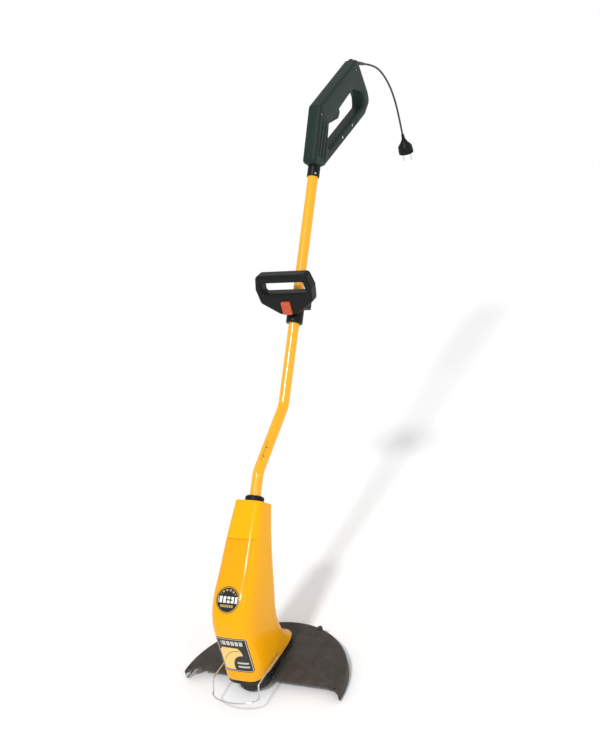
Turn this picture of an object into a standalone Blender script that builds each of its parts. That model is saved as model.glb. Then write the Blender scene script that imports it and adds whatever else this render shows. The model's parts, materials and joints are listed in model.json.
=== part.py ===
"""Corded string trimmer: motor head, bent shaft, D-handle, auxiliary handle, guard and line head.

Metres, +Z up. The cutting plane is level, the user stands on the +Y side, and the line head
turns about the world Z axis. The plane X = 0 is the plane of the shaft.
"""

import math

import bmesh
import bpy
from mathutils import Matrix, Vector

MM = 0.001
GAP = 0.3 * MM  # between pieces that touch
RUNNING = 0.5 * MM  # round a piece that turns or slides

# Shaft: two parallel straights joined by a flatter middle stretch.
TUBE_RADIUS = 11.0 * MM
TUBE_WALL = 1.2 * MM
TUBE_LEAN = math.radians(43.1)
BEND_LEAN = math.radians(66.6)
BEND_RADIUS = 45.0 * MM
TUBE_FOOT = Vector((0, 0.1555, 0.3100))  # where the tube leaves the motor housing
TUBE_INSET = 38.0 * MM  # tube length hidden in the housing
FOOT_LENGTH = 60.0 * MM
BEND_LENGTH = 156.0 * MM
UPPER_LENGTH = 482.0 * MM  # from the upper bend to the foot of the rear handle's sleeve
TUBE_IN_HANDLE = 86.0 * MM
LEAD_RADIUS = 3.0 * MM

# Motor housing: a lofted shell, given by stations from the tube end down to the base.
HOUSING_WALL = 2.5 * MM
VENT_LOW = 120.0 * MM
VENT_PITCH = 13.0 * MM
HOUSING_HALF_WIDTH = 44.5 * MM
HOUSING_BASE_Z = 43.0 * MM
RIM_HEIGHT = 10.0 * MM
RIM_INSET = 0.8 * MM
COLLAR_HEIGHT = 13.0 * MM
COLLAR_NECK = TUBE_RADIUS + 3.5 * MM
COLLAR_RADIUS = COLLAR_NECK + 4.0 * MM
COLLAR_DEPTH = 26.0 * MM

# Motor, on the Z axis.
MOTOR_RADIUS = 32.5 * MM
STATOR_LOW = 76.0 * MM
STATOR_HEIGHT = 48.0 * MM
ARMATURE_RADIUS = 20.0 * MM
AIR_GAP = 1.0 * MM
SHAFT_RADIUS = 5.0 * MM
BEARING_RADIUS = 13.0 * MM
BEARING_HEIGHT = 8.0 * MM

# Line head.
HEAD_RADIUS = 32.0 * MM
HEAD_WALL = 2.2 * MM
HEAD_LOW = 8.0 * MM
HEAD_TOP = 31.0 * MM
SPOOL_RADIUS = 28.0 * MM
SPOOL_LOW = 11.2 * MM
SPOOL_HEIGHT = 10.4 * MM
LINE_Z = 16.0 * MM
LINE_RADIUS = 0.8 * MM
LINE_REACH = 142.0 * MM
BUMP_RADIUS = 15.4 * MM

# Guard.
GUARD_RADIUS = 170.0 * MM
GUARD_CENTRE = Vector((0.0190, -0.0136))
GUARD_TOP = 26.0 * MM
GUARD_LOW = 4.0 * MM
GUARD_WALL = 3.0 * MM
GUARD_FRONT = -6.0 * MM  # y of the guard's straight front edge
GUARD_HORN = 13.0 * MM  # how far the skirt's ends reach forward of that edge
LIP_HEIGHT = 8.0 * MM
HEAD_CLEARANCE = 6.0 * MM
PAD_INSET = 4.0 * MM  # of the guard's pad from the housing's sides

# Wire bow that turns about X on the housing's sides.
BOW_PIVOT = Vector((0, 0.0250, 0.0550))
BOW_HALF_WIDTH = 50.0 * MM
BOW_WIRE = 1.5 * MM
BOW_REACH = 85.0 * MM
BOW_DROP = 24.0 * MM
BOW_NOSE = 22.0 * MM

# Rear handle, in the shaft's own plane: s along the shaft, n square to it, forward and up.
HANDLE_ROUND = 7.0 * MM
SLEEVE_RADIUS = TUBE_RADIUS + 2.0 * MM
HANDLE_WALL = 3.0 * MM  # outside the sleeve
HANDLE_HALF = SLEEVE_RADIUS + HANDLE_WALL
SLEEVE_LOW = 4.0 * MM
SLEEVE_TOP = 46.0 * MM
GRIP_ORIGIN = Vector((0.128, -0.015))  # s, n where the grip's underside meets the socket
GRIP_TURN = math.radians(-35.2)
TRIGGER_HALF = 7.0 * MM
GLAND_BASE = Vector((0.3125, -0.0975))
GLAND_TIP = Vector((0.3380, -0.1560))

# Auxiliary handle: an upright loop on a collar round the shaft.
LOOP_BEHIND = 3.494 * MM  # the loop's middle, behind the clamp's foot
LOOP_HALF_DEPTH = 14.0 * MM
LOOP_ROUND = 5.5 * MM
SLOT_HEIGHT = 23.0 * MM
SLOT_HALF = 50.0 * MM
LOOP_RISE = 110.377 * MM  # the loop's top, above the clamp's foot
BAR_HEIGHT = 17.0 * MM
CLAMP_WALL = 6.0 * MM
CLAMP_RADIUS = TUBE_RADIUS + CLAMP_WALL
CLAMP_ABOVE_BEND = 171.0 * MM
CLAMP_LENGTH = 62.0 * MM
BUTTON_HALF = Vector((0.0100, 0.0140))
BUTTON_RISE = 40.377 * MM
BUTTON_PROUD = 5.0 * MM

# Cord.
CORD_RADIUS = 2.25 * MM
CORD_ROUTE = (
    (1.0450, 0.8960), (1.0710, 0.8830), (1.0930, 0.8660), (1.1120, 0.8430), (1.1265, 0.8160),
    (1.1350, 0.7870), (1.1385, 0.7580), (1.1390, 0.7290), (1.1390, 0.7010),
)  # y, z of the points that the cord passes after the gland, down to the plug
CORD_STEP = 2.4  # diameters between the tube's rings

ALONG = Vector((0, math.sin(TUBE_LEAN), math.cos(TUBE_LEAN)))
FORWARD = Vector((0, -math.cos(TUBE_LEAN), math.sin(TUBE_LEAN)))
MIDDLE = Vector((0, math.sin(BEND_LEAN), math.cos(BEND_LEAN)))
LOWER_BEND = TUBE_FOOT + ALONG * FOOT_LENGTH
UPPER_BEND = LOWER_BEND + MIDDLE * BEND_LENGTH
HANDLE_FOOT = UPPER_BEND + ALONG * UPPER_LENGTH
CLAMP_LOW = CLAMP_ABOVE_BEND - UPPER_LENGTH  # along the shaft, from the handle's foot
CLAMP_FOOT = UPPER_BEND + ALONG * CLAMP_ABOVE_BEND
LOOP_Y = CLAMP_FOOT.y + LOOP_BEHIND
LOOP_TOP = CLAMP_FOOT.z + LOOP_RISE
BUTTON_Z = CLAMP_FOOT.z + BUTTON_RISE

FINISHES = {
    "yellow_paint": ((0.90, 0.42, 0.01, 1), 0.25, 0.0),
    "yellow_plastic": ((0.93, 0.46, 0.02, 1), 0.30, 0.0),
    "grip_plastic": ((0.035, 0.055, 0.045, 1), 0.50, 0.0),
    "black_plastic": ((0.018, 0.020, 0.016, 1), 0.45, 0.0),
    "guard_plastic": ((0.070, 0.063, 0.058, 1), 0.55, 0.0),
    "orange_plastic": ((0.62, 0.10, 0.04, 1), 0.40, 0.0),
    "cord_rubber": ((0.03, 0.03, 0.03, 1), 0.60, 0.0),
    "wire_steel": ((0.62, 0.66, 0.68, 1), 0.25, 1.0),
    "steel": ((0.50, 0.50, 0.50, 1), 0.30, 1.0),
    "laminations": ((0.25, 0.25, 0.26, 1), 0.50, 0.8),
    "copper": ((0.72, 0.32, 0.16, 1), 0.30, 1.0),
    "carbon": ((0.04, 0.04, 0.04, 1), 0.60, 0.0),
    "nylon_line": ((0.75, 0.20, 0.05, 1), 0.35, 0.0),
}


# ---------------------------------------------------------------- building blocks


def clear_scene():
    for obj in list(bpy.data.objects):
        bpy.data.objects.remove(obj, do_unlink=True)


def finish_of(name):
    found = bpy.data.materials.get(name)
    if found:
        return found
    colour, roughness, metallic = FINISHES[name]
    made = bpy.data.materials.new(name)
    made.use_nodes = True
    shader = made.node_tree.nodes["Principled BSDF"]
    shader.inputs["Base Color"].default_value = colour
    shader.inputs["Roughness"].default_value = roughness
    shader.inputs["Metallic"].default_value = metallic
    return made


def add(name, bm, finish):
    """Makes one object from a bmesh, with its faces out and its round sides smooth."""
    bmesh.ops.remove_doubles(bm, verts=bm.verts, dist=1e-7)
    bmesh.ops.recalc_face_normals(bm, faces=bm.faces)
    mesh = bpy.data.meshes.new(name)
    bm.to_mesh(mesh)
    bm.free()
    mesh.shade_smooth()
    mesh.set_sharp_from_angle(angle=math.radians(35))
    obj = bpy.data.objects.new(name, mesh)
    bpy.context.scene.collection.objects.link(obj)
    if finish:
        mesh.materials.append(finish_of(finish))
    return obj


def hide(obj):
    obj.hide_render = True
    obj.display_type = "WIRE"
    return obj


def combine(target, other, operation):
    modifier = target.modifiers.new(other.name, "BOOLEAN")
    modifier.operation = operation
    modifier.solver = "EXACT"
    modifier.object = hide(other)


def cut(target, *cutters):
    for cutter in cutters:
        combine(target, cutter, "DIFFERENCE")


def join(target, *pieces):
    for piece in pieces:
        combine(target, piece, "UNION")


def keep(target, region):
    combine(target, region, "INTERSECT")


def aim(obj, position, axis):
    """Puts an object's own Z axis along axis, with its origin at position."""
    obj.location = position
    obj.rotation_mode = "QUATERNION"
    obj.rotation_quaternion = Vector(axis).to_track_quat("Z", "Y")
    return obj


def turned(name, profile, finish, position=(0, 0, 0), axis=(0, 0, 1), sides=24):
    """A round solid: profile is a closed outline of (radius, height) about its own Z axis."""
    bm = bmesh.new()
    rings = []
    for radius, height in profile:
        if radius == 0:
            rings.append([bm.verts.new((0, 0, height))] * sides)
            continue
        turns = (2 * math.pi * k / sides for k in range(sides))
        rings.append([
            bm.verts.new((radius * math.cos(turn), radius * math.sin(turn), height))
            for turn in turns
        ])
    for low, high in zip(rings, rings[1:] + rings[:1]):
        for k in range(sides):
            corners = [low[k], low[(k + 1) % sides], high[(k + 1) % sides], high[k]]
            corners = list(dict.fromkeys(corners))
            if len(corners) > 2:
                bm.faces.new(corners)
    return aim(add(name, bm, finish), position, axis)


def rod(name, radius, length, finish, position=(0, 0, 0), axis=(0, 0, 1), sides=20):
    profile = [(0, 0), (radius, 0), (radius, length), (0, length)]
    return turned(name, profile, finish, position, axis, sides)


def pipe(name, inner, outer, length, finish, position=(0, 0, 0), axis=(0, 0, 1), sides=24):
    profile = [(inner, 0), (outer, 0), (outer, length), (inner, length)]
    return turned(name, profile, finish, position, axis, sides)


def box(name, low, high, finish=None, turn=None):
    """A block between two corners, in the world or in the space that turn maps to it."""
    bm = bmesh.new()
    bmesh.ops.create_cube(bm, size=1)
    size = Vector(high) - Vector(low)
    middle = (Vector(high) + Vector(low)) / 2
    bmesh.ops.transform(bm, matrix=Matrix.Diagonal(size).to_4x4(), verts=bm.verts)
    bmesh.ops.translate(bm, vec=middle, verts=bm.verts)
    obj = add(name, bm, finish)
    if turn:
        obj.matrix_world = turn
    return obj


def inset(loop, distance):
    """The loop moved into its material, which is on the left of its direction of travel."""
    moved = []
    for k, here in enumerate(loop):
        before = (here - loop[k - 1]).normalized()
        after = (loop[(k + 1) % len(loop)] - here).normalized()
        first = Vector((-before.y, before.x))
        second = Vector((-after.y, after.x))
        moved.append(here + (first + second) * (distance / (1 + first.dot(second))))
    return moved


def rounded(corners, steps=4):
    """A closed loop from (x, y, radius) corners, with an arc of steps pieces at each."""
    loop = []
    for k, (x, y, radius) in enumerate(corners):
        here = Vector((x, y))
        back = (Vector(corners[k - 1][:2]) - here).normalized()
        ahead = (Vector(corners[(k + 1) % len(corners)][:2]) - here).normalized()
        if radius == 0:
            loop.append(here)
            continue
        half = back.angle(ahead) / 2
        start = here + back * (radius / math.tan(half))
        end = here + ahead * (radius / math.tan(half))
        centre = here + (back + ahead).normalized() * (radius / math.sin(half))
        sweep = (start - centre).angle_signed(end - centre)
        for step in range(steps + 1):
            turn = Matrix.Rotation(-sweep * step / steps, 2)
            loop.append(centre + turn @ (start - centre))
    return loop


def slab(name, loops, levels, finish, turn=None):
    """A plate whose outline is loops (the outer one anticlockwise, holes clockwise), built up
    through levels of (height, inset) so that its edges can be rounded."""
    bm = bmesh.new()
    ends = [[], []]
    for loop in loops:
        rings = [
            [bm.verts.new((p.x, p.y, height)) for p in inset(loop, step)]
            for height, step in levels
        ]
        count = len(loop)
        for low, high in zip(rings, rings[1:]):
            for k in range(count):
                bm.faces.new((low[k], low[(k + 1) % count], high[(k + 1) % count], high[k]))
        for side, ring in zip(ends, (rings[0], rings[-1])):
            side += [bm.edges.get((ring[k - 1], ring[k])) for k in range(count)]
    for edges in ends:
        bmesh.ops.triangle_fill(bm, use_beauty=True, edges=edges)
    obj = add(name, bm, finish)
    if turn:
        obj.matrix_world = turn
    return obj


def edge_levels(low, high, radius, steps=3):
    """Levels from a flat end at low to an edge rounded over radius at high."""
    levels = [(low, 0.0)]
    for step in range(steps + 1):
        turn = math.pi / 2 * step / steps
        levels.append((high - radius + radius * math.sin(turn), radius * (1 - math.cos(turn))))
    return levels


def both_edges(half, radius, steps=3):
    upper = edge_levels(0, half, radius, steps)[1:]
    return [(-height, step) for height, step in reversed(upper)] + upper


def wire(name, points, radius, finish, resolution=2):
    """A curve through the points, bevelled to a round rod with closed ends."""
    curve = bpy.data.curves.new(name, "CURVE")
    curve.dimensions = "3D"
    curve.bevel_depth = radius
    curve.bevel_resolution = resolution
    curve.use_fill_caps = True
    spline = curve.splines.new("POLY")
    spline.points.add(len(points) - 1)
    for spot, point in zip(spline.points, points):
        spot.co = (*point, 1)
    obj = bpy.data.objects.new(name, curve)
    bpy.context.scene.collection.objects.link(obj)
    curve.materials.append(finish_of(finish))
    return obj


def bent(points, radius, steps=6):
    """An open path with an arc at each inner corner."""
    path = [points[0]]
    for before, here, after in zip(points, points[1:], points[2:]):
        back = (before - here).normalized()
        ahead = (after - here).normalized()
        half = back.angle(ahead) / 2
        start = here + back * (radius / math.tan(half))
        centre = here + (back + ahead).normalized() * (radius / math.sin(half))
        axis = back.cross(ahead).normalized()
        sweep = math.pi - 2 * half
        for step in range(steps + 1):
            turn = Matrix.Rotation(-sweep * step / steps, 3, axis)
            path.append(centre + turn @ (start - centre))
    return path + [points[-1]]


def smooth_path(points, spacing):
    """Points an even distance apart on a Catmull-Rom curve through the given ones."""
    ends = [points[0] * 2 - points[1], *points, points[-1] * 2 - points[-2]]
    fine = []
    for a, b, c, d in zip(ends, ends[1:], ends[2:], ends[3:]):
        for step in range(20):
            t = step / 20
            fine.append(
                0.5 * (2 * b + (c - a) * t + (2 * a - 5 * b + 4 * c - d) * t**2
                       + (3 * b - a - 3 * c + d) * t**3)
            )
    fine.append(points[-1])
    length = sum((q - p).length for p, q in zip(fine, fine[1:]))
    count = max(2, round(length / spacing))
    picked, walked, goal = [fine[0]], 0.0, length / count
    for p, q in zip(fine, fine[1:]):
        step = (q - p).length
        while walked + step >= goal and len(picked) < count:
            picked.append(p.lerp(q, (goal - walked) / step))
            goal += length / count
        walked += step
    return picked + [fine[-1]]


def coil(low, high, radius, turns, axis_turn=None, per_turn=10):
    """Points of a helical spring between two heights on its own Z axis."""
    count = int(turns * per_turn)
    points = []
    for k in range(count + 1):
        turn = 2 * math.pi * k / per_turn
        height = low + (high - low) * k / count
        points.append(Vector((radius * math.cos(turn), radius * math.sin(turn), height)))
    if axis_turn:
        points = [axis_turn @ point for point in points]
    return points


def on_shaft(s, n, x=0.0):
    return HANDLE_FOOT + ALONG * s + FORWARD * n + Vector((x, 0, 0))


def plane_matrix(origin, right, up, out):
    """A space with its X, Y and Z axes along right, up and out."""
    made = Matrix((right, up, out)).transposed().to_4x4()
    made.translation = origin
    return made


# Spaces whose X and Y are a slab's outline and whose Z is its thickness.
SHAFT_PLANE = plane_matrix(HANDLE_FOOT, ALONG, FORWARD, Vector((1, 0, 0)))
LOOP_PLANE = plane_matrix(Vector((0, LOOP_Y, 0)), Vector((1, 0, 0)), Vector((0, 0, 1)),
                          Vector((0, -1, 0)))
GRIP_PLANE = SHAFT_PLANE @ Matrix.Translation((*GRIP_ORIGIN, 0)) @ Matrix.Rotation(
    GRIP_TURN, 4, "Z")


def on_grip(g, h, x=0.0):
    return GRIP_PLANE @ Vector((g, h, x))


# ---------------------------------------------------------------- motor housing

# Each station: front point (y, z), back point (y, z) and half width, from the tube end down.
STATIONS = (
    ((0.1330, 0.3300), (0.1740, 0.2920), 0.0300),
    ((0.0830, 0.2880), (0.1460, 0.2520), 0.0350),
    ((0.0310, 0.2410), (0.1220, 0.2080), 0.0395),
    ((-0.0120, 0.2040), (0.1010, 0.1620), 0.0430),
    ((-0.0330, 0.1720), (0.0860, 0.1280), 0.0440),
    ((-0.0385, 0.1400), (0.0800, 0.1020), 0.0445),
    ((-0.0400, 0.0900), (0.0840, 0.0760), 0.0445),
    ((-0.0420, 0.0600), (0.0950, 0.0580), 0.0445),
    ((-0.0440, HOUSING_BASE_Z), (0.1120, HOUSING_BASE_Z), 0.0445),
)


def station_ring(front, back, half_width, shrink, sides=24):
    """A squared-off oval between two points of the plane X = 0."""
    front, back = Vector((0, *front)), Vector((0, *back))
    middle = (front + back) / 2
    reach = (back - front) / 2
    direction = reach.normalized()
    depth = reach.length - shrink
    width = half_width - shrink
    ring = []
    for k in range(sides):
        turn = 2 * math.pi * k / sides
        across = math.copysign(abs(math.cos(turn)) ** 0.5, math.cos(turn))
        along = math.copysign(abs(math.sin(turn)) ** 0.5, math.sin(turn))
        ring.append(middle + Vector((width * across, 0, 0)) + direction * depth * along)
    return ring


def blended_stations(steps=2):
    """The stations with Catmull-Rom ones between them."""
    rows = [Vector((*front, *back, width)) for front, back, width in STATIONS]
    ends = [rows[0] * 2 - rows[1], *rows, rows[-1] * 2 - rows[-2]]
    blended = []
    for a, b, c, d in zip(ends, ends[1:], ends[2:], ends[3:]):
        for step in range(steps):
            t = step / steps
            blended.append(
                0.5 * (2 * b + (c - a) * t + (2 * a - 5 * b + 4 * c - d) * t**2
                       + (3 * b - a - 3 * c + d) * t**3)
            )
    blended.append(rows[-1])
    return [((row[0], row[1]), (row[2], row[3]), row[4]) for row in blended]


def loft(name, rings, finish=None):
    bm = bmesh.new()
    levels = [[bm.verts.new(point) for point in ring] for ring in rings]
    count = len(rings[0])
    for low, high in zip(levels, levels[1:]):
        for k in range(count):
            bm.faces.new((low[k], low[(k + 1) % count], high[(k + 1) % count], high[k]))
    bm.faces.new(levels[0])
    bm.faces.new(levels[-1])
    return add(name, bm, finish)


def housing_solid(name, finish):
    stations = blended_stations()
    top, *rest = stations
    crown = station_ring(*top, 2.5 * MM)
    lift = ALONG * 2.0 * MM
    rings = [[point + lift for point in crown]]
    rings += [station_ring(*station, 0) for station in stations]
    return loft(name, rings, finish)


def housing_cavity(name):
    stations = blended_stations()[1:]
    rings = [station_ring(*station, HOUSING_WALL) for station in stations]
    below = [point - Vector((0, 0, 5 * MM)) for point in rings[-1]]
    return loft(name, rings + [below])


PARTING_TOP = Vector((0, 0.1400, 0.3400))
PARTING_FOOT = Vector((0, 0.0300, 0.0400))


def parting_box(name, side, margin):
    """A block that keeps what lies in front of the parting plane (side -1) or behind it."""
    up = (PARTING_TOP - PARTING_FOOT).normalized()
    out = Vector((1, 0, 0)).cross(up) * -side
    space = plane_matrix(PARTING_FOOT, Vector((1, 0, 0)), up, out)
    return box(name, (-0.1, -0.1, margin), (0.1, 0.5, 0.3), turn=space)


def bow_hole(name):
    length = 4 * HOUSING_HALF_WIDTH
    start = BOW_PIVOT - Vector((length / 2, 0, 0))
    return rod(name, BOW_WIRE + RUNNING, length, None, start, (1, 0, 0), 16)


SCREW_SHANK = 1.7 * MM
SCREW_HEAD = 3.4 * MM


def screw(name, head_at, axis, length, finish="steel", head=SCREW_HEAD, shank=SCREW_SHANK):
    """A pan-head screw whose head's outer face is at head_at and whose shank runs along axis."""
    profile = [(0, 0), (head * 0.8, 0), (head, 0.7 * MM), (head, 2.2 * MM),
               (shank, 2.2 * MM), (shank, length), (0, length + 1 * MM)]
    return turned(name, profile, finish, head_at, axis, 14)


def screw_hole(name, head_at, axis, length):
    """The clearance for such a screw, open outwards past its head."""
    start = -6 * MM
    profile = [(0, start), (SCREW_HEAD + GAP, start), (SCREW_HEAD + GAP, 2.5 * MM),
               (SCREW_SHANK + GAP, 2.5 * MM), (SCREW_SHANK + GAP, length + 1.5 * MM),
               (0, length + 1.5 * MM)]
    return turned(name, profile, None, head_at, axis, 14)


def make_housing():
    cavity = housing_cavity("housing_cavity")
    collar_bore = rod("collar_bore", COLLAR_NECK + GAP, 0.08, None,
                      TUBE_FOOT - ALONG * 0.04, ALONG, 24)
    pivot_hole = bow_hole("bow_pivot_hole")
    front = housing_solid("housing_front", "yellow_plastic")
    rear = housing_solid("housing_rear", "yellow_plastic")
    for shell in (front, rear):
        cut(shell, cavity, collar_bore, pivot_hole)
    keep(front, parting_box("front_region", -1, GAP / 2))
    keep(rear, parting_box("rear_region", 1, GAP / 2))
    for k in range(5):
        low = VENT_LOW + VENT_PITCH * k
        slot = box(f"vent_cutter_{k}", (-0.024, 0.070, low), (0.024, 0.160, low + 5 * MM))
        cut(rear, slot)
    return front, rear


def make_tube_collar():
    """The black collar that closes the housing's mouth round the tube."""
    inner = TUBE_RADIUS + GAP
    profile = [
        (inner, -COLLAR_DEPTH), (COLLAR_NECK, -COLLAR_DEPTH), (COLLAR_NECK, 2.6 * MM),
        (COLLAR_RADIUS, 2.6 * MM), (COLLAR_RADIUS, COLLAR_HEIGHT - 3 * MM),
        (COLLAR_RADIUS - 3 * MM, COLLAR_HEIGHT), (inner, COLLAR_HEIGHT),
    ]
    turned("tube_collar", profile, "black_plastic", TUBE_FOOT, ALONG, 24)


def base_ring(shrink):
    return [Vector((p.x, p.y)) for p in station_ring(*STATIONS[-1], shrink)]


def make_base_plate():
    """The black foot of the housing: it carries the lower bearing and takes the guard's screws."""
    low = HOUSING_BASE_Z - RIM_HEIGHT
    levels = [(low, 2 * MM), (low + 2 * MM, 0), (HOUSING_BASE_Z - GAP, 0)]
    plate = slab("base_plate", [base_ring(RIM_INSET)], levels, "black_plastic")
    spigot_levels = [(HOUSING_BASE_Z - 3 * MM, 0), (HOUSING_BASE_Z, 0), (HOUSING_BASE_Z + 4 * MM, 5.5 * MM)]
    spigot = slab("base_spigot", [base_ring(HOUSING_WALL + GAP)], spigot_levels, None)
    boss = rod("bearing_boss", BEARING_RADIUS + 4 * MM, 20 * MM, None, (0, 0, low + 2 * MM))
    join(plate, spigot, boss)
    cut(plate,
        rod("bearing_pocket", BEARING_RADIUS + GAP, 0.03, None, (0, 0, low + 11 * MM)),
        rod("shaft_clearance", SHAFT_RADIUS + 1 * MM, 0.03, None, (0, 0, low - 5 * MM)))
    for k, x in enumerate((-1, 1)):
        head = (x * 28 * MM, 72 * MM, GUARD_TOP - 2.5 * MM)
        cut(plate, rod(f"guard_screw_bore_{k}", SCREW_SHANK + GAP, 16 * MM, None,
                       (head[0], head[1], low - 3 * MM)))


# ---------------------------------------------------------------- motor


def make_motor():
    """The wound stator and the frame that holds the upper bearing: both stand still."""
    inner = ARMATURE_RADIUS + AIR_GAP
    top = STATOR_LOW + STATOR_HEIGHT
    pipe("motor_stator", inner, MOTOR_RADIUS, STATOR_HEIGHT, "laminations", (0, 0, STATOR_LOW), sides=28)
    for name, low in (("field_coil_lower", STATOR_LOW - 6.3 * MM), ("field_coil_upper", top + GAP)):
        pipe(name, inner + 1 * MM, MOTOR_RADIUS - 3 * MM, 6 * MM, "copper", (0, 0, low))
    frame_low = top + 6.6 * MM
    profile = [
        (26 * MM, frame_low), (MOTOR_RADIUS, frame_low), (MOTOR_RADIUS, frame_low + 18 * MM),
        (BEARING_RADIUS + 3 * MM, frame_low + 27 * MM), (SHAFT_RADIUS + 1 * MM, frame_low + 27 * MM),
        (SHAFT_RADIUS + 1 * MM, frame_low + 25 * MM), (BEARING_RADIUS + GAP, frame_low + 25 * MM),
        (BEARING_RADIUS + GAP, frame_low + 17 * MM), (26 * MM, frame_low + 15 * MM),
    ]
    frame = turned("motor_frame", profile, "black_plastic", sides=28)
    return frame, frame_low


def make_bearing(name, low):
    """A sealed ball bearing, as one ring round the shaft."""
    pipe(name, SHAFT_RADIUS + 0.05 * MM, BEARING_RADIUS, BEARING_HEIGHT, "steel", (0, 0, low))


def make_rotor(frame, frame_low):
    top = STATOR_LOW + STATOR_HEIGHT
    shaft_top = frame_low + 24.5 * MM
    rod("motor_shaft", SHAFT_RADIUS, shaft_top - 24 * MM, "steel", (0, 0, 24 * MM), sides=16)
    fit = SHAFT_RADIUS + GAP
    pipe("armature", fit, ARMATURE_RADIUS, STATOR_HEIGHT + 2 * MM, "laminations",
         (0, 0, STATOR_LOW - 1 * MM))
    commutator_low = top + 4 * MM
    pipe("commutator", fit, 11 * MM, 14 * MM, "copper", (0, 0, commutator_low), sides=20)
    for name, side in (("brush_left", -1), ("brush_right", 1)):
        ends = sorted((side * 11.6 * MM, side * 27 * MM))
        low = (ends[0], -3 * MM, frame_low + 3 * MM)
        box(name, low, (ends[1], 3 * MM, frame_low + 9 * MM), "carbon")
    cut(frame, box("brush_slot", (-27.4 * MM, -3.4 * MM, frame_low + 2.6 * MM),
                   (27.4 * MM, 3.4 * MM, frame_low + 9.4 * MM)))
    make_bearing("upper_bearing", frame_low + 16.6 * MM)
    make_bearing("lower_bearing", HOUSING_BASE_Z - RIM_HEIGHT + 11.4 * MM)
    make_fan(fit)


def make_fan(fit):
    """The cooling fan under the stator: a disc with straight vanes."""
    low = 57 * MM
    fan = pipe("cooling_fan", fit, 29 * MM, 2 * MM, "black_plastic", (0, 0, low))
    hub = pipe("fan_hub", fit, 9 * MM, 8 * MM, None, (0, 0, low + 1 * MM), sides=16)
    join(fan, hub)
    for k in range(8):
        turn = Matrix.Rotation(2 * math.pi * k / 8, 4, "Z")
        vane = box(f"fan_vane_{k}", (8 * MM, -0.6 * MM, low + 1 * MM),
                   (28 * MM, 0.6 * MM, low + 9 * MM), turn=turn)
        join(fan, vane)


# ---------------------------------------------------------------- line head


def make_line_head():
    inner = HEAD_RADIUS - HEAD_WALL
    roof = HEAD_TOP - 4 * MM
    profile = [
        (SHAFT_RADIUS + GAP, roof - 2 * MM), (7 * MM, roof - 2 * MM), (8.5 * MM, roof), (inner, roof),
        (inner, HEAD_LOW + 3.5 * MM), (inner + 1 * MM, HEAD_LOW + 3.5 * MM),
        (inner + 1 * MM, HEAD_LOW), (HEAD_RADIUS - 0.5 * MM, HEAD_LOW), (HEAD_RADIUS, HEAD_LOW + 1 * MM),
        (HEAD_RADIUS, HEAD_TOP - 3 * MM), (HEAD_RADIUS - 3 * MM, HEAD_TOP), (SHAFT_RADIUS + GAP, HEAD_TOP),
    ]
    cup = turned("head_cup", profile, "black_plastic", sides=32)
    eyelet_hole = rod("eyelet_hole", 2.8 * MM, 0.01, None, (0, inner - 3 * MM, LINE_Z), (0, 1, 0), 14)
    cut(cup, eyelet_hole)
    lid = [
        (BUMP_RADIUS + RUNNING, HEAD_LOW), (inner + 1 * MM - GAP, HEAD_LOW),
        (inner + 1 * MM - GAP, HEAD_LOW + 2.6 * MM), (BUMP_RADIUS + RUNNING, HEAD_LOW + 2.6 * MM),
    ]
    turned("head_lid", lid, "black_plastic", sides=32)
    eyelet = [
        (1.1 * MM, inner - 0.6 * MM), (2.5 * MM, inner - 0.6 * MM), (2.5 * MM, HEAD_RADIUS + GAP),
        (3.6 * MM, HEAD_RADIUS + GAP), (3.6 * MM, HEAD_RADIUS + 1.2 * MM),
        (1.1 * MM, HEAD_RADIUS + 1.2 * MM),
    ]
    turned("line_eyelet", eyelet, "steel", (0, 0, LINE_Z), (0, 1, 0), 14)
    start = inner - 0.6 * MM
    line = wire("cutting_line", [Vector((0, start, LINE_Z)), Vector((0, LINE_REACH, LINE_Z))],
                LINE_RADIUS, "nylon_line", 1)
    return line


def make_spool():
    core = 15 * MM
    top = SPOOL_LOW + SPOOL_HEIGHT
    well = 11.5 * MM
    profile = [
        (0, SPOOL_LOW), (SPOOL_RADIUS, SPOOL_LOW), (SPOOL_RADIUS, SPOOL_LOW + 1.4 * MM),
        (core, SPOOL_LOW + 1.4 * MM), (core, top - 1.4 * MM), (SPOOL_RADIUS, top - 1.4 * MM),
        (SPOOL_RADIUS, top), (well, top), (well, SPOOL_LOW + 1.8 * MM), (0, SPOOL_LOW + 1.8 * MM),
    ]
    turned("spool", profile, "black_plastic", sides=28)
    pipe("wound_line", core + GAP, SPOOL_RADIUS - 2.5 * MM, SPOOL_HEIGHT - 3.4 * MM, "nylon_line",
         (0, 0, SPOOL_LOW + 1.7 * MM))
    cap = [
        (0, 0), (9 * MM, 0), (13 * MM, 1.6 * MM), (BUMP_RADIUS, 5 * MM),
        (BUMP_RADIUS, SPOOL_LOW - GAP), (0, SPOOL_LOW - GAP),
    ]
    turned("bump_cap", cap, "black_plastic")
    wire("bump_spring", coil(SPOOL_LOW + 3 * MM, HEAD_TOP - 5 * MM, 10.0 * MM, 3.5), 0.6 * MM, "steel", 0)


# ---------------------------------------------------------------- guard


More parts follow.
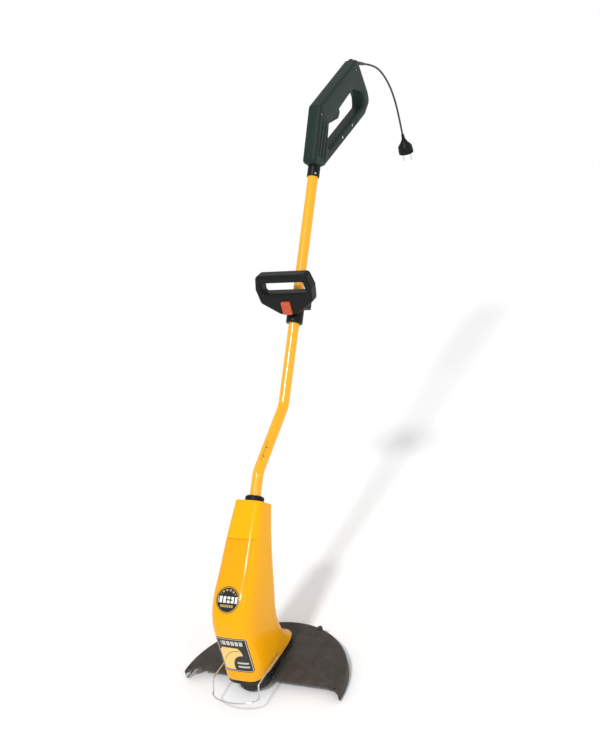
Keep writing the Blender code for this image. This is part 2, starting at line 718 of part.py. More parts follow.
def guard_outline():
    """The guard seen from above, anticlockwise: skirt arc, then the front edge with its notch
    round the line head."""
    low_y = GUARD_FRONT - GUARD_HORN
    lean = math.asin((low_y - GUARD_CENTRE.y) / GUARD_RADIUS)
    count = 44
    arc = []
    for k in range(count + 1):
        turn = lean + (math.pi - 2 * lean) * k / count
        arc.append(GUARD_CENTRE + Vector((math.cos(turn), math.sin(turn))) * GUARD_RADIUS)
    notch = HEAD_RADIUS + HEAD_CLEARANCE
    tilt = math.asin(GUARD_FRONT / notch)
    steps = 14
    front = [
        Vector((GUARD_CENTRE.x - GUARD_RADIUS + 19 * MM, low_y + 3 * MM)),
        Vector((GUARD_CENTRE.x - GUARD_RADIUS + 32 * MM, GUARD_FRONT)),
    ]
    for k in range(steps + 1):
        turn = math.pi - tilt - (math.pi - 2 * tilt) * k / steps
        front.append(Vector((math.cos(turn), math.sin(turn))) * notch)
    front += [
        Vector((GUARD_CENTRE.x + GUARD_RADIUS - 32 * MM, GUARD_FRONT)),
        Vector((GUARD_CENTRE.x + GUARD_RADIUS - 19 * MM, low_y + 3 * MM)),
    ]
    return arc + front


def guard_skirt_cavity(name):
    """The hollow under the guard: a shallow round tray, open forward and down."""
    inner = GUARD_RADIUS - GUARD_WALL
    top = GUARD_TOP - GUARD_WALL
    profile = [
        (0, GUARD_LOW - 9 * MM), (inner, GUARD_LOW - 9 * MM), (inner, top - 4 * MM),
        (inner - 1.5 * MM, top - 1.5 * MM), (inner - 4 * MM, top), (0, top),
    ]
    return turned(name, profile, None, (*GUARD_CENTRE, 0), sides=64)


def make_guard():
    levels = [(GUARD_LOW, 0)] + edge_levels(0, GUARD_TOP, 7 * MM)[1:]
    guard = slab("guard", [guard_outline()], levels, "guard_plastic")
    cut(guard, guard_skirt_cavity("guard_cavity"))
    lip_low = GUARD_TOP - LIP_HEIGHT
    for side, low_x, high_x in (
        ("right", HEAD_RADIUS + HEAD_CLEARANCE + 4 * MM, GUARD_CENTRE.x + GUARD_RADIUS - 33 * MM),
        ("left", GUARD_CENTRE.x - GUARD_RADIUS + 33 * MM, -HEAD_RADIUS - HEAD_CLEARANCE - 4 * MM),
    ):
        lip = box(f"guard_lip_{side}", (low_x, GUARD_FRONT + 0.5 * MM, lip_low),
                  (high_x, GUARD_FRONT + 3 * MM, GUARD_TOP - 2 * MM))
        join(guard, lip)
    pad_top = HOUSING_BASE_Z - RIM_HEIGHT - GAP
    pad_front = HEAD_RADIUS + 2 * MM
    pad_ring = [p for p in base_ring(PAD_INSET) if p.y > pad_front + 1 * MM]
    pad_ring += [Vector((side * (HOUSING_HALF_WIDTH - PAD_INSET), pad_front)) for side in (-1, 1)]
    pad_ring.sort(key=lambda p: math.atan2(p.y - pad_front + 4 * MM, p.x))
    pad = slab("guard_pad", [pad_ring], [(GUARD_TOP - 2 * MM, 0), (pad_top, 0)], None)
    join(guard, pad)
    nub_turn = math.radians(70.4)
    nub_at = GUARD_CENTRE + Vector((math.cos(nub_turn), math.sin(nub_turn))) * (GUARD_RADIUS - 3 * MM)
    nub = rod("guard_nub", 5 * MM, 12 * MM, None, (*nub_at, GUARD_TOP - 9 * MM), sides=12)
    join(guard, nub)
    for name, side in (("guard_screw_left", -1), ("guard_screw_right", 1)):
        head_at = (side * 28 * MM, 72 * MM, GUARD_TOP - GUARD_WALL + 0.3 * MM)
        length = HOUSING_BASE_Z - 3.5 * MM - head_at[2]
        screw(name, head_at, (0, 0, 1), length, shank=SCREW_SHANK)
        cut(guard, screw_hole(f"{name}_hole", head_at, (0, 0, 1), length))
    make_cutter(guard)


def make_cutter(guard):
    """The blade that trims the line, on the inside of the skirt's left end."""
    wall = GUARD_CENTRE.x - GUARD_RADIUS + GUARD_WALL + GAP + 0.8 * MM
    low = LINE_Z - 6 * MM
    at_y = -13 * MM
    blade = box("cutter_blade", (wall + 0.2 * MM, at_y - 9 * MM, low),
                (wall + 1.4 * MM, at_y + 12 * MM, low + 8.5 * MM), "steel")
    edge = box("cutter_edge", (wall + 0.2 * MM, at_y + 10.8 * MM, low),
               (LINE_REACH * -1 - 1.2 * MM, at_y + 12 * MM, low + 8.5 * MM))
    join(blade, edge)
    head_at = (wall + 4 * MM, at_y - 1 * MM, low + 4.2 * MM)
    screw("cutter_screw", head_at, (-1, 0, 0), 5.6 * MM, shank=1.4 * MM, head=2.6 * MM)
    hole = rod("cutter_screw_hole", 1.7 * MM, 12 * MM, None,
               (head_at[0] + 3 * MM, head_at[1], head_at[2]), (-1, 0, 0), 12)
    cut(blade, hole)
    cut(guard, hole)


# ---------------------------------------------------------------- wire bow


def make_wire_bow():
    """A bent wire bow whose ends turn in through the housing's side walls."""
    wall = HOUSING_HALF_WIDTH - HOUSING_WALL - 2 * MM
    side = BOW_HALF_WIDTH
    pivot = BOW_PIVOT
    shoulder = Vector((0, pivot.y - BOW_REACH, pivot.z))
    toe = shoulder + Vector((0, -10 * MM, -BOW_DROP))
    nose = []
    steps = 12
    for k in range(1, steps):
        turn = math.pi * k / steps
        nose.append(toe + Vector((side * math.cos(turn), -BOW_NOSE * math.sin(turn), 0)))
    right = Vector((side, 0, 0))
    corners = [
        pivot + Vector((wall, 0, 0)), pivot + right, shoulder + right, toe + right,
    ]
    left = [Vector((-p.x, p.y, p.z)) for p in reversed(corners)]
    path = bent(corners, 5 * MM, 4)[:-1] + [toe + right] + nose
    path += [toe - right] + bent(left, 5 * MM, 4)[1:]
    return wire("wire_bow", path, BOW_WIRE, "wire_steel")


# ---------------------------------------------------------------- shaft


def shaft_points(start_inset, end_inset):
    return [
        TUBE_FOOT - ALONG * start_inset, LOWER_BEND, UPPER_BEND, HANDLE_FOOT + ALONG * end_inset,
    ]


def make_shaft_tube():
    path = bent(shaft_points(TUBE_INSET, TUBE_IN_HANDLE), BEND_RADIUS, 6)
    sides = 20
    bm = bmesh.new()
    rings = []
    for k, here in enumerate(path):
        before = path[max(k - 1, 0)]
        after = path[min(k + 1, len(path) - 1)]
        along = (after - before).normalized()
        up = along.cross(Vector((1, 0, 0)))
        for radius in (TUBE_RADIUS, TUBE_RADIUS - TUBE_WALL):
            rings.append([
                bm.verts.new(here + Vector((radius * math.cos(turn), 0, 0)) + up * radius * math.sin(turn))
                for turn in (2 * math.pi * j / sides for j in range(sides))
            ])
    outer, inner = rings[0::2], rings[1::2]
    pairs = list(zip(outer, outer[1:])) + list(zip(inner, inner[1:]))
    pairs += [(outer[0], inner[0]), (outer[-1], inner[-1])]
    for low, high in pairs:
        for j in range(sides):
            bm.faces.new((low[j], low[(j + 1) % sides], high[(j + 1) % sides], high[j]))
    add("shaft_tube", bm, "yellow_paint")


def make_power_lead():
    """The two-core lead from the switch down the tube to the motor's terminals."""
    points = bent(shaft_points(TUBE_INSET, TUBE_IN_HANDLE), BEND_RADIUS, 5)
    points[0] = TUBE_FOOT - ALONG * 62 * MM
    points[-1] = on_shaft(0.134, 0)
    wire("power_lead", points, LEAD_RADIUS, "cord_rubber", 1)
    low = points[0] - ALONG * 12.4 * MM
    space = plane_matrix(low, Vector((1, 0, 0)), Vector((1, 0, 0)).cross(ALONG) * -1, ALONG)
    box("terminal_block", (-9 * MM, -6 * MM, 0), (9 * MM, 6 * MM, 12 * MM), "black_plastic", space)


# ---------------------------------------------------------------- rear handle

HANDLE_OUTLINE = (
    (0.0260, 0.0270, 8 * MM), (0.0280, -0.0060, 8 * MM), (0.0360, -0.0190, 8 * MM),
    (0.2180, -0.1660, 22 * MM), (0.2560, -0.1800, 20 * MM), (0.2740, -0.1660, 22 * MM),
    (0.3215, -0.0990, 9 * MM), (0.1510, 0.0310, 10 * MM),
)
HANDLE_HOLE = (
    (0.0700, -0.0205, 5 * MM), (0.1280, -0.0150, 6 * MM), (0.2460, -0.0980, 10 * MM),
    (0.2600, -0.1420, 12 * MM), (0.2340, -0.1520, 12 * MM),
)
HANDLE_SCREWS = ((0.1705, -0.1143), (0.1265, -0.0786), (0.1340, 0.0215), (0.2945, -0.1010))


def make_handle_half(name, side):
    loops = [rounded(HANDLE_OUTLINE), rounded(HANDLE_HOLE)]
    levels = edge_levels(GAP / 2, HANDLE_HALF, HANDLE_ROUND)
    if side < 0:
        levels = [(-height, step) for height, step in levels]
    half = slab(name, loops, levels, "grip_plastic", SHAFT_PLANE)
    cut(half,
        rod(f"{name}_sleeve_bore", SLEEVE_RADIUS + GAP, SLEEVE_TOP + 14 * MM, None,
            on_shaft(GAP - 14 * MM, 0), ALONG, 24),
        rod(f"{name}_tube_bore", TUBE_RADIUS + GAP, TUBE_IN_HANDLE - SLEEVE_TOP + 2 * MM, None,
            on_shaft(SLEEVE_TOP, 0), ALONG, 24),
        rod(f"{name}_lead_bore", LEAD_RADIUS + GAP, 60 * MM, None, on_shaft(TUBE_IN_HANDLE, 0),
            ALONG, 16),
        box(f"{name}_chamber", (-6 * MM, 3 * MM, -12 * MM), (112 * MM, 35.5 * MM, 12 * MM),
            turn=GRIP_PLANE),
        box(f"{name}_trigger_slot", (-1.5 * MM, -8 * MM, -TRIGGER_HALF - RUNNING),
            (79 * MM, 5 * MM, TRIGGER_HALF + RUNNING), turn=GRIP_PLANE))
    gland_axis = (on_shaft(*GLAND_TIP) - on_shaft(*GLAND_BASE)).normalized()
    pocket = [(0, -3 * MM), (8 * MM, -3 * MM), (8 * MM, 3.4 * MM), (5.3 * MM, 3.4 * MM),
              (5.3 * MM, 40 * MM), (0, 40 * MM)]
    cut(half, turned(f"{name}_gland_pocket", pocket, None, on_shaft(*GLAND_BASE), gland_axis, 20))
    return half


def make_rear_handle():
    left = make_handle_half("handle_left", -1)
    right = make_handle_half("handle_right", 1)
    for k, (s, n) in enumerate(HANDLE_SCREWS):
        head_at = on_shaft(s, n, HANDLE_HALF - 2.2 * MM)
        screw(f"handle_screw_{k + 1}", head_at, (-1, 0, 0), 22 * MM)
        for half in (left, right):
            cut(half, screw_hole(f"{half.name}_screw_hole_{k + 1}", head_at, (-1, 0, 0), 22 * MM))
    pin_at = on_grip(10 * MM, 9 * MM, 0)
    pin_hole = rod("trigger_pin_hole", 2 * MM + GAP, 27 * MM, None,
                   pin_at - Vector((13.5 * MM, 0, 0)), (1, 0, 0), 14)
    cut(left, pin_hole)
    cut(right, pin_hole)
    make_trigger(pin_at)
    make_switch()
    make_sleeve()
    make_gland()


TRIGGER_OUTLINE = (
    (3.0 * MM, -2.5 * MM, 2 * MM), (58.0 * MM, -19.0 * MM, 7 * MM), (73.0 * MM, -12.0 * MM, 6 * MM),
    (76.0 * MM, 8.0 * MM, 1 * MM), (60.0 * MM, 11.0 * MM, 1 * MM), (17.0 * MM, 14.0 * MM, 3 * MM),
    (3.0 * MM, 14.0 * MM, 3 * MM),
)


def make_trigger(pin_at):
    """The trigger, on its own empty at the pivot."""
    pivot = bpy.data.objects.new("trigger_pivot", None)
    pivot.location = pin_at
    bpy.context.scene.collection.objects.link(pivot)
    trigger = slab("trigger", [rounded(TRIGGER_OUTLINE)], both_edges(TRIGGER_HALF, 2 * MM, 2),
                   "grip_plastic")
    trigger.parent = pivot
    trigger.matrix_parent_inverse = Matrix.Translation(-pin_at)
    trigger.matrix_basis = GRIP_PLANE
    cut(trigger, rod("trigger_bore", 2 * MM + RUNNING, 0.03, None,
                     pin_at - Vector((0.015, 0, 0)), (1, 0, 0), 14))
    rod("trigger_pin", 2 * MM, 26 * MM, "steel", pin_at - Vector((13 * MM, 0, 0)), (1, 0, 0), 14)
    coiled = coil(7.9 * MM, 11.3 * MM, 3.2 * MM, 3, GRIP_PLANE @ Matrix.Translation((10 * MM, 9 * MM, 0)), 8)
    leg = coiled[-1] + (on_grip(1, 0) - on_grip(0, 0)) * 9 * MM
    wire("trigger_spring", [*coiled, leg], 0.45 * MM, "steel", 0)


def make_switch():
    """The snap switch over the trigger, with its button facing it."""
    switch = box("switch", (22 * MM, 23 * MM, -8 * MM), (54 * MM, 35 * MM, 8 * MM), "black_plastic",
                 GRIP_PLANE)
    button = box("switch_button", (40 * MM, 18.2 * MM, -2.5 * MM), (46 * MM, 24 * MM, 2.5 * MM),
                 turn=GRIP_PLANE)
    join(switch, button)


def make_sleeve():
    pipe("handle_sleeve", TUBE_RADIUS + GAP, SLEEVE_RADIUS, SLEEVE_TOP - SLEEVE_LOW, "black_plastic",
         on_shaft(SLEEVE_LOW, 0), ALONG)


def make_gland():
    """The tapered sleeve that keeps the cord from kinking where it leaves the handle."""
    base, tip = on_shaft(*GLAND_BASE), on_shaft(*GLAND_TIP)
    length = (tip - base).length
    profile = [(0, 0), (7.6 * MM, 0), (7.6 * MM, 3 * MM), (5.0 * MM, 3 * MM), (5.0 * MM, 16 * MM),
               (3.4 * MM, length - 1 * MM), (2.9 * MM, length), (0, length)]
    turned("cord_gland", profile, "cord_rubber", base, tip - base, 20)


def make_cord():
    base, tip = on_shaft(*GLAND_BASE), on_shaft(*GLAND_TIP)
    out = (tip - base).normalized()
    route = [tip + out * GAP, tip + out * 12 * MM]
    route += [Vector((0, y, z)) for y, z in CORD_ROUTE]
    points = smooth_path(route, CORD_STEP * 2 * CORD_RADIUS)
    wire("cord", points, CORD_RADIUS, "cord_rubber")
    end = route[-1]
    shell = [(0, 0), (3.2 * MM, 0), (4.2 * MM, -12 * MM), (9 * MM, -20 * MM), (17 * MM, -30 * MM),
             (17.6 * MM, -40 * MM), (17.6 * MM, -48 * MM), (0, -48 * MM)]
    plug_at = end - Vector((0, 0, GAP))
    turned("plug", list(reversed(shell)), "black_plastic", plug_at)
    for name, side in (("plug_pin_left", -1), ("plug_pin_right", 1)):
        rod(name, 2.4 * MM, 19 * MM, "steel", plug_at + Vector((side * 9.5 * MM, 0, -48.3 * MM)),
            (0, 0, -1), 14)


# ---------------------------------------------------------------- auxiliary handle


def loop_outline():
    top = LOOP_TOP
    return rounded((
        (-0.0570, top, 9 * MM), (-0.0640, top - 29 * MM, 12 * MM),
        (-0.0590, top - 60 * MM, 10 * MM), (-0.0190, top - 86 * MM, 10 * MM),
        (0.0190, top - 86 * MM, 10 * MM), (0.0590, top - 60 * MM, 10 * MM),
        (0.0640, top - 29 * MM, 12 * MM), (0.0570, top, 9 * MM),
    ))


def slot_outline():
    top = LOOP_TOP - BAR_HEIGHT
    low = top - SLOT_HEIGHT
    half = SLOT_HALF
    return rounded((
        (-half + 2 * MM, top, 4 * MM), (half - 2 * MM, top, 4 * MM),
        (half, low, 4 * MM), (-half, low, 4 * MM),
    ))


def on_clamp(s, n, x=0.0):
    return on_shaft(CLAMP_LOW + s, n, x)


CLAMP_EAR = 30.0 * MM  # half width over the clamp's screw ears


def make_clamp_solid(name, finish):
    """The collar round the shaft, with an ear on each side for its screws."""
    body = rod(name, CLAMP_RADIUS, CLAMP_LENGTH, finish, on_clamp(0, 0), ALONG, 28)
    space = SHAFT_PLANE @ Matrix.Translation((CLAMP_LOW, 0, 0))
    ears = box(f"{name}_ears", (30 * MM, -8 * MM, -CLAMP_EAR), (46 * MM, 8 * MM, CLAMP_EAR), turn=space)
    join(body, ears)
    return body


def clamp_bore(name):
    return rod(name, TUBE_RADIUS + RUNNING, CLAMP_LENGTH + 40 * MM, None, on_clamp(-20 * MM, 0),
               ALONG, 28)


def half_space(name, side):
    """A block on one side of the plane that holds X and the shaft's axis."""
    low, high = sorted((side * GAP / 2, side * 0.15))
    space = SHAFT_PLANE @ Matrix.Translation((CLAMP_LOW, 0, 0))
    return box(name, (-0.1, low, -0.1), (0.2, high, 0.1), turn=space)


def make_aux_handle():
    loop = slab("aux_handle", [loop_outline(), slot_outline()], both_edges(LOOP_HALF_DEPTH, LOOP_ROUND, 2),
                "black_plastic", LOOP_PLANE)
    join(loop, make_clamp_solid("front_collar", None))
    clamp = make_clamp_solid("aux_clamp", "black_plastic")
    keep(loop, half_space("front_of_shaft", 1))
    keep(clamp, half_space("back_of_shaft", -1))
    cut(loop, clamp_bore("front_bore"))
    cut(clamp, clamp_bore("back_bore"))
    for name, side in (("aux_screw_left", -1), ("aux_screw_right", 1)):
        head_at = on_clamp(38 * MM, -6.8 * MM, side * 23.5 * MM)
        screw(name, head_at, FORWARD, 12.5 * MM)
        hole = screw_hole(f"{name}_hole", head_at, FORWARD, 12.5 * MM)
        cut(loop, hole)
        cut(clamp, hole)
    make_lock_button(loop)


def make_lock_button(loop):
    """The orange button that frees the handle to slide, pressed towards +Y."""
    face = LOOP_Y - LOOP_HALF_DEPTH - BUTTON_PROUD
    depth = 15 * MM
    outline = rounded((
        (-BUTTON_HALF.x, -BUTTON_HALF.y, 2 * MM), (BUTTON_HALF.x, -BUTTON_HALF.y, 2 * MM),
        (BUTTON_HALF.x, BUTTON_HALF.y, 2 * MM), (-BUTTON_HALF.x, BUTTON_HALF.y, 2 * MM),
    ), 2)
    space = plane_matrix(Vector((0, face + depth, BUTTON_Z)), Vector((1, 0, 0)), Vector((0, 0, 1)),
                         Vector((0, -1, 0)))
    button = slab("lock_button", [outline], edge_levels(0, depth, 2 * MM, 2), "orange_plastic", space)
    spring_bore = rod("button_spring_bore", 5.5 * MM, 9 * MM, None,
                      (0, face + depth - 8 * MM, BUTTON_Z), (0, 1, 0), 16)
    cut(button, spring_bore)
    pocket_end = face + depth + 4 * MM
    pocket = slab("button_pocket", [inset(outline, -RUNNING)],
                  [(face + depth - pocket_end, 0), (40 * MM, 0)], None, space)
    seat = rod("spring_seat", 5.5 * MM, 6 * MM, None, (0, pocket_end - 2 * MM, BUTTON_Z), (0, 1, 0), 16)
    cut(loop, pocket, seat)
    low, high = face + depth - 7.1 * MM, pocket_end + 3.1 * MM
    turn = Matrix.Translation((0, 0, BUTTON_Z)) @ Matrix.Rotation(-math.pi / 2, 4, "X")
    wire("lock_spring", coil(low, high, 4.2 * MM, 4, turn, 8), 0.5 * MM, "steel", 0)


def main():
    clear_scene()
    make_housing()
    make_tube_collar()
    make_base_plate()
    frame, frame_low = make_motor()
    make_rotor(frame, frame_low)
    make_line_head()
    make_spool()
    make_guard()
    make_wire_bow()
    make_shaft_tube()
    make_power_lead()
    make_rear_handle()
    make_cord()
    make_aux_handle()


main()
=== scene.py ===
"""Looks for the corded string trimmer: its visible pieces, their finishes, the studio and the camera.

Laid out as a Blender add-on and run as a script. Metres, +Z up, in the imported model's own frame.
"""

import json
import math

import bmesh
import bpy
from bpy.props import (
    FloatProperty, FloatVectorProperty, IntProperty, PointerProperty,
)
from mathutils import Matrix, Vector


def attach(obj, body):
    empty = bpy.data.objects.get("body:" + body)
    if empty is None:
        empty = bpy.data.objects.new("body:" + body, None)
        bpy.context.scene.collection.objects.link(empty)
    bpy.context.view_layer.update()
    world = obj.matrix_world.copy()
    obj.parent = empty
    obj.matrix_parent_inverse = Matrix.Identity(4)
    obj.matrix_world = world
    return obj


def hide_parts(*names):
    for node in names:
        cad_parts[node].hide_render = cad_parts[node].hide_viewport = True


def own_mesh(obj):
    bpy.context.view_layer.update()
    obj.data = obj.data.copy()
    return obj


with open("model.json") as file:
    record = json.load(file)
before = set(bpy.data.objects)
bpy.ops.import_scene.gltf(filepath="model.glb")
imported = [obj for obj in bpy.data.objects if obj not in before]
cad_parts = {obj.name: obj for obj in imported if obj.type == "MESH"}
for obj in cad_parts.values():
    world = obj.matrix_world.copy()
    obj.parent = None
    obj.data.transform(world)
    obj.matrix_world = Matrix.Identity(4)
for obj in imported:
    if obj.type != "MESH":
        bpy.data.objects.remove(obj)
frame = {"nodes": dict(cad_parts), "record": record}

bl_info = {
    "name": "String trimmer",
    "version": (1, 0, 0),
    "blender": (4, 5, 0),
    "location": "3D View > Sidebar > Trimmer",
    "description": "Builds the visible pieces of a corded string trimmer round its solid model",
    "category": "Object",
}

MM = 0.001
GAP = 0.3 * MM

# The solid model's own sizes and axes, which these pieces keep to.
TUBE_RADIUS = 11.0 * MM
TUBE_WALL = 1.2 * MM
TUBE_LEAN = math.radians(43.1)
BEND_LEAN = math.radians(66.6)
BEND_RADIUS = 45.0 * MM
TUBE_FOOT = Vector((0, 0.1555, 0.3100))
TUBE_INSET = 38.0 * MM
TUBE_IN_HANDLE = 86.0 * MM
ALONG = Vector((0, math.sin(TUBE_LEAN), math.cos(TUBE_LEAN)))
FORWARD = Vector((0, -math.cos(TUBE_LEAN), math.sin(TUBE_LEAN)))
MIDDLE = Vector((0, math.sin(BEND_LEAN), math.cos(BEND_LEAN)))
LOWER_BEND = TUBE_FOOT + ALONG * 0.060
UPPER_BEND = LOWER_BEND + MIDDLE * 0.156
HANDLE_FOOT = UPPER_BEND + ALONG * 0.482

COLLAR_RADIUS = 18.5 * MM
COLLAR_HEIGHT = 13.0 * MM
COLLAR_NECK = 14.5 * MM
HOUSING_WALL = 2.5 * MM
BASE_Z = 43.0 * MM
RIM_HEIGHT = 10.0 * MM
BOW_PIVOT = Vector((0, 0.0250, 0.0550))
BOW_WIRE = 1.5 * MM
BOW_HALF = 50.0 * MM

HEAD_RADIUS = 32.0 * MM
HEAD_LOW = 8.0 * MM
HEAD_TOP = 31.0 * MM
SPOOL_LOW = 11.2 * MM
LINE_Z = 16.0 * MM
BUMP_RADIUS = 15.4 * MM

GUARD_RADIUS = 170.0 * MM
GUARD_CENTRE = Vector((0.0190, -0.0136))
GUARD_TOP = 26.0 * MM
GUARD_LOW = 4.0 * MM
GUARD_WALL = 3.0 * MM
GUARD_FRONT = -6.0 * MM

HANDLE_HALF = 16.0 * MM
SLEEVE_RADIUS = 13.0 * MM
SLEEVE_LOW = 4.0 * MM
SLEEVE_TOP = 46.0 * MM
TRIGGER_HALF = 7.0 * MM
GLAND_BASE = Vector((0.3125, -0.0975))
GLAND_TIP = Vector((0.3380, -0.1560))

LOOP_Y = 460.0 * MM
LOOP_HALF_DEPTH = 14.0 * MM
LOOP_TOP = 651.0 * MM
BAR_HEIGHT = 17.0 * MM
SLOT_HEIGHT = 23.0 * MM
SLOT_HALF = 50.0 * MM
CLAMP_RADIUS = 17.0 * MM
CLAMP_LOW = -311.0 * MM
CLAMP_LENGTH = 62.0 * MM
BUTTON_Z = 581.0 * MM
BUTTON_FACE = LOOP_Y - LOOP_HALF_DEPTH - 5.0 * MM

CORD_ROUTE = (
    (1.0450, 0.8960), (1.0710, 0.8830), (1.0930, 0.8660), (1.1120, 0.8430), (1.1265, 0.8160),
    (1.1350, 0.7870), (1.1385, 0.7580), (1.1390, 0.7290), (1.1390, 0.7010),
)

KEY_WAY = Vector((0.06, -0.57, 0.82))  # towards the main light
STRIP_AT = Vector((1.5, -0.9, 1.1))
STRIP_TARGET = Vector((0, 0.3, 0.4))

GUARD_SCREWS = tuple((side * 28 * MM, 72 * MM) for side in (-1, 1))
GUARD_SCREW_Z = GUARD_TOP - GUARD_WALL + GAP  # where the heads bear
SCREW_HEAD = 3.4 * MM
SCREW_SHANK = 1.7 * MM

RIGHT = Vector((1, 0, 0))
BACK = Vector((0, 1, 0))
UP = Vector((0, 0, 1))

# Camera: its lens, where it stands, and the directions of its right, up and back.
LENS = 59.39
SENSOR = 36
CAMERA_AT = Vector((1.2306, -1.4896, 1.5044))
CAMERA_AXES = (
    Vector((0.87222, 0.42963, -0.23378)),
    Vector((-0.0039, 0.48406, 0.87503)),
    Vector((0.48911, -0.7623, 0.42388)),
)


# ---------------------------------------------------------------- settings


def colour_setting(name, description, default):
    return FloatVectorProperty(
        name=name, description=description, subtype="COLOR", size=3, min=0, max=1, default=default
    )


class TrimmerColours(bpy.types.PropertyGroup):
    """The colours a user would change."""

    housing: colour_setting("Housing", "Colour of the motor housing", (0.97, 0.455, 0.0))
    shaft: colour_setting("Shaft", "Colour of the painted tube", (0.97, 0.44, 0.0))
    grip: colour_setting("Grip", "Colour of the rear handle", (0.015, 0.029, 0.025))
    black: colour_setting("Black parts", "Colour of the black mouldings", (0.007, 0.009, 0.008))
    guard: colour_setting("Guard", "Colour of the guard", (0.045, 0.040, 0.037))
    button: colour_setting("Lock button", "Colour of the lock button", (0.58, 0.095, 0.034))
    line: colour_setting("Line", "Colour of the cutting line", (0.75, 0.20, 0.05))


class TrimmerSizes(bpy.types.PropertyGroup):
    """Sizes of details that can change without a change to the solids."""

    cord_diameter: FloatProperty(
        name="Cord diameter", description="Outer diameter of the cord", unit="LENGTH",
        default=4.5 * MM, min=3 * MM, max=8 * MM)
    bow_sides: IntProperty(
        name="Wire sides", description="Faces round the wire bow", default=16, min=6, max=32)
    vents: IntProperty(
        name="Vents", description="Slots in the back of the housing", default=5, min=2, max=6)
    flutes: IntProperty(
        name="Head flutes", description="Finger flutes round the line head", default=18, min=6, max=30)


class TrimmerStudio(bpy.types.PropertyGroup):
    """The floor and the lights."""

    floor: colour_setting("Floor", "Colour of the floor", (0.97, 0.97, 0.97))
    key: FloatProperty(name="Key light", description="Strength of the main light", default=1.45, min=0)
    strip: FloatProperty(name="Strip light", description="Power of the side light", default=4.5, min=0)
    sky: FloatProperty(name="Sky", description="Strength of the sky's light", default=0.68, min=0)


# ---------------------------------------------------------------- node helpers


class Socket:
    """A socket that Python's operators work on: numbers use Math nodes, vectors Vector Math."""

    def __init__(self, nodes, socket):
        self.nodes = nodes
        self.socket = socket

    def maths(self, operation, *sides):
        kind = "ShaderNodeVectorMath" if self.socket.type == "VECTOR" else "ShaderNodeMath"
        return self.nodes.add(kind, dict(enumerate(sides)), operation=operation)

    def __add__(self, other):
        return self.maths("ADD", self, other)

    def __sub__(self, other):
        return self.maths("SUBTRACT", self, other)

    def __rsub__(self, other):
        return self.maths("SUBTRACT", other, self)

    def __mul__(self, other):
        return self.maths("MULTIPLY", self, other)

    __radd__ = __add__
    __rmul__ = __mul__

    def above(self, edge, soft=0.0):
        """1 where this is over edge, 0 under it, with a soft step if asked."""
        if not soft:
            return self.maths("GREATER_THAN", self, edge)
        return self.nodes.add(
            "ShaderNodeMapRange",
            {"Value": self, "From Min": edge - soft, "From Max": edge + soft},
            interpolation_type="SMOOTHSTEP")

    def within(self, low, high, soft=0.0):
        return self.above(low, soft) * (1 - self.above(high, soft))

    def size(self):
        return self.maths("ABSOLUTE", self)

    def wave(self):
        return self.maths("SINE", self)

    def power(self, exponent):
        return self.maths("POWER", self, exponent)

    def least(self, other):
        return self.maths("MINIMUM", self, other)

    def most(self, other):
        return self.maths("MAXIMUM", self, other)

    def along(self, axis):
        """How far a place lies along an axis."""
        return self.nodes.add("ShaderNodeVectorMath", {0: self, 1: tuple(axis)}, output=1,
                              operation="DOT_PRODUCT")

    def split(self):
        """The x, y and z of a vector."""
        node = self.nodes.add("ShaderNodeSeparateXYZ", {"Vector": self}).socket.node
        return [Socket(self.nodes, output) for output in node.outputs]


class Nodes:
    """Adds nodes to a tree: a node's settings first, then the values or links of its sockets."""

    def __init__(self, tree):
        self.tree = tree

    def add(self, kind, values=None, output=0, **settings):
        node = self.tree.nodes.new(kind)
        for name, value in settings.items():
            setattr(node, name, value)
        for name, value in (values or {}).items():
            self.feed(node.inputs[name], value)
        return Socket(self, node.outputs[output])

    def feed(self, socket, value):
        if isinstance(value, Socket):
            self.tree.links.new(value.socket, socket)
        else:
            socket.default_value = value

    def mix(self, share, first, second):
        """A colour from first, at share 0, to second, at share 1."""
        node = self.add("ShaderNodeMix", data_type="RGBA").socket.node
        for place, value in ((0, share), (6, first), (7, second)):
            if not isinstance(value, Socket) and place:
                value = (*value, 1)
            self.feed(node.inputs[place], value)
        return Socket(self, node.outputs[2])

    def place(self, turn=(0, 0, 0), stretch=(1, 1, 1)):
        """Object coordinates, turned or stretched."""
        at = self.add("ShaderNodeTexCoord", output=3)
        if turn == (0, 0, 0) and stretch == (1, 1, 1):
            return at
        return self.add("ShaderNodeMapping", {"Vector": at, "Rotation": turn, "Scale": stretch})

    def noise(self, at, scale, detail=3.0, roughness=0.5):
        return self.add("ShaderNodeTexNoise", {
            "Vector": at, "Scale": scale, "Detail": detail, "Roughness": roughness,
        })

    def cells(self, at, scale):
        return self.add("ShaderNodeTexVoronoi", {"Vector": at, "Scale": scale}, feature="F1")

    def bump(self, height, depth, normal=None):
        """A Bump node: depth is in metres for a height of 1."""
        values = {"Height": height, "Strength": 1.0, "Distance": depth}
        if normal:
            values["Normal"] = normal
        return self.add("ShaderNodeBump", values)


def new_finish(name):
    """A material with its Nodes, and its shader."""
    material = bpy.data.materials.new(name)
    material.use_nodes = True
    shader = material.node_tree.nodes["Principled BSDF"]
    return material, Nodes(material.node_tree), shader


def shade(nodes, shader, **values):
    """Sets or links the shader's sockets, named with underscores for spaces."""
    for name, value in values.items():
        nodes.feed(shader.inputs[name.replace("_", " ")], value)


def tone(colour, factor):
    return tuple(min(1.0, channel * factor) for channel in colour)


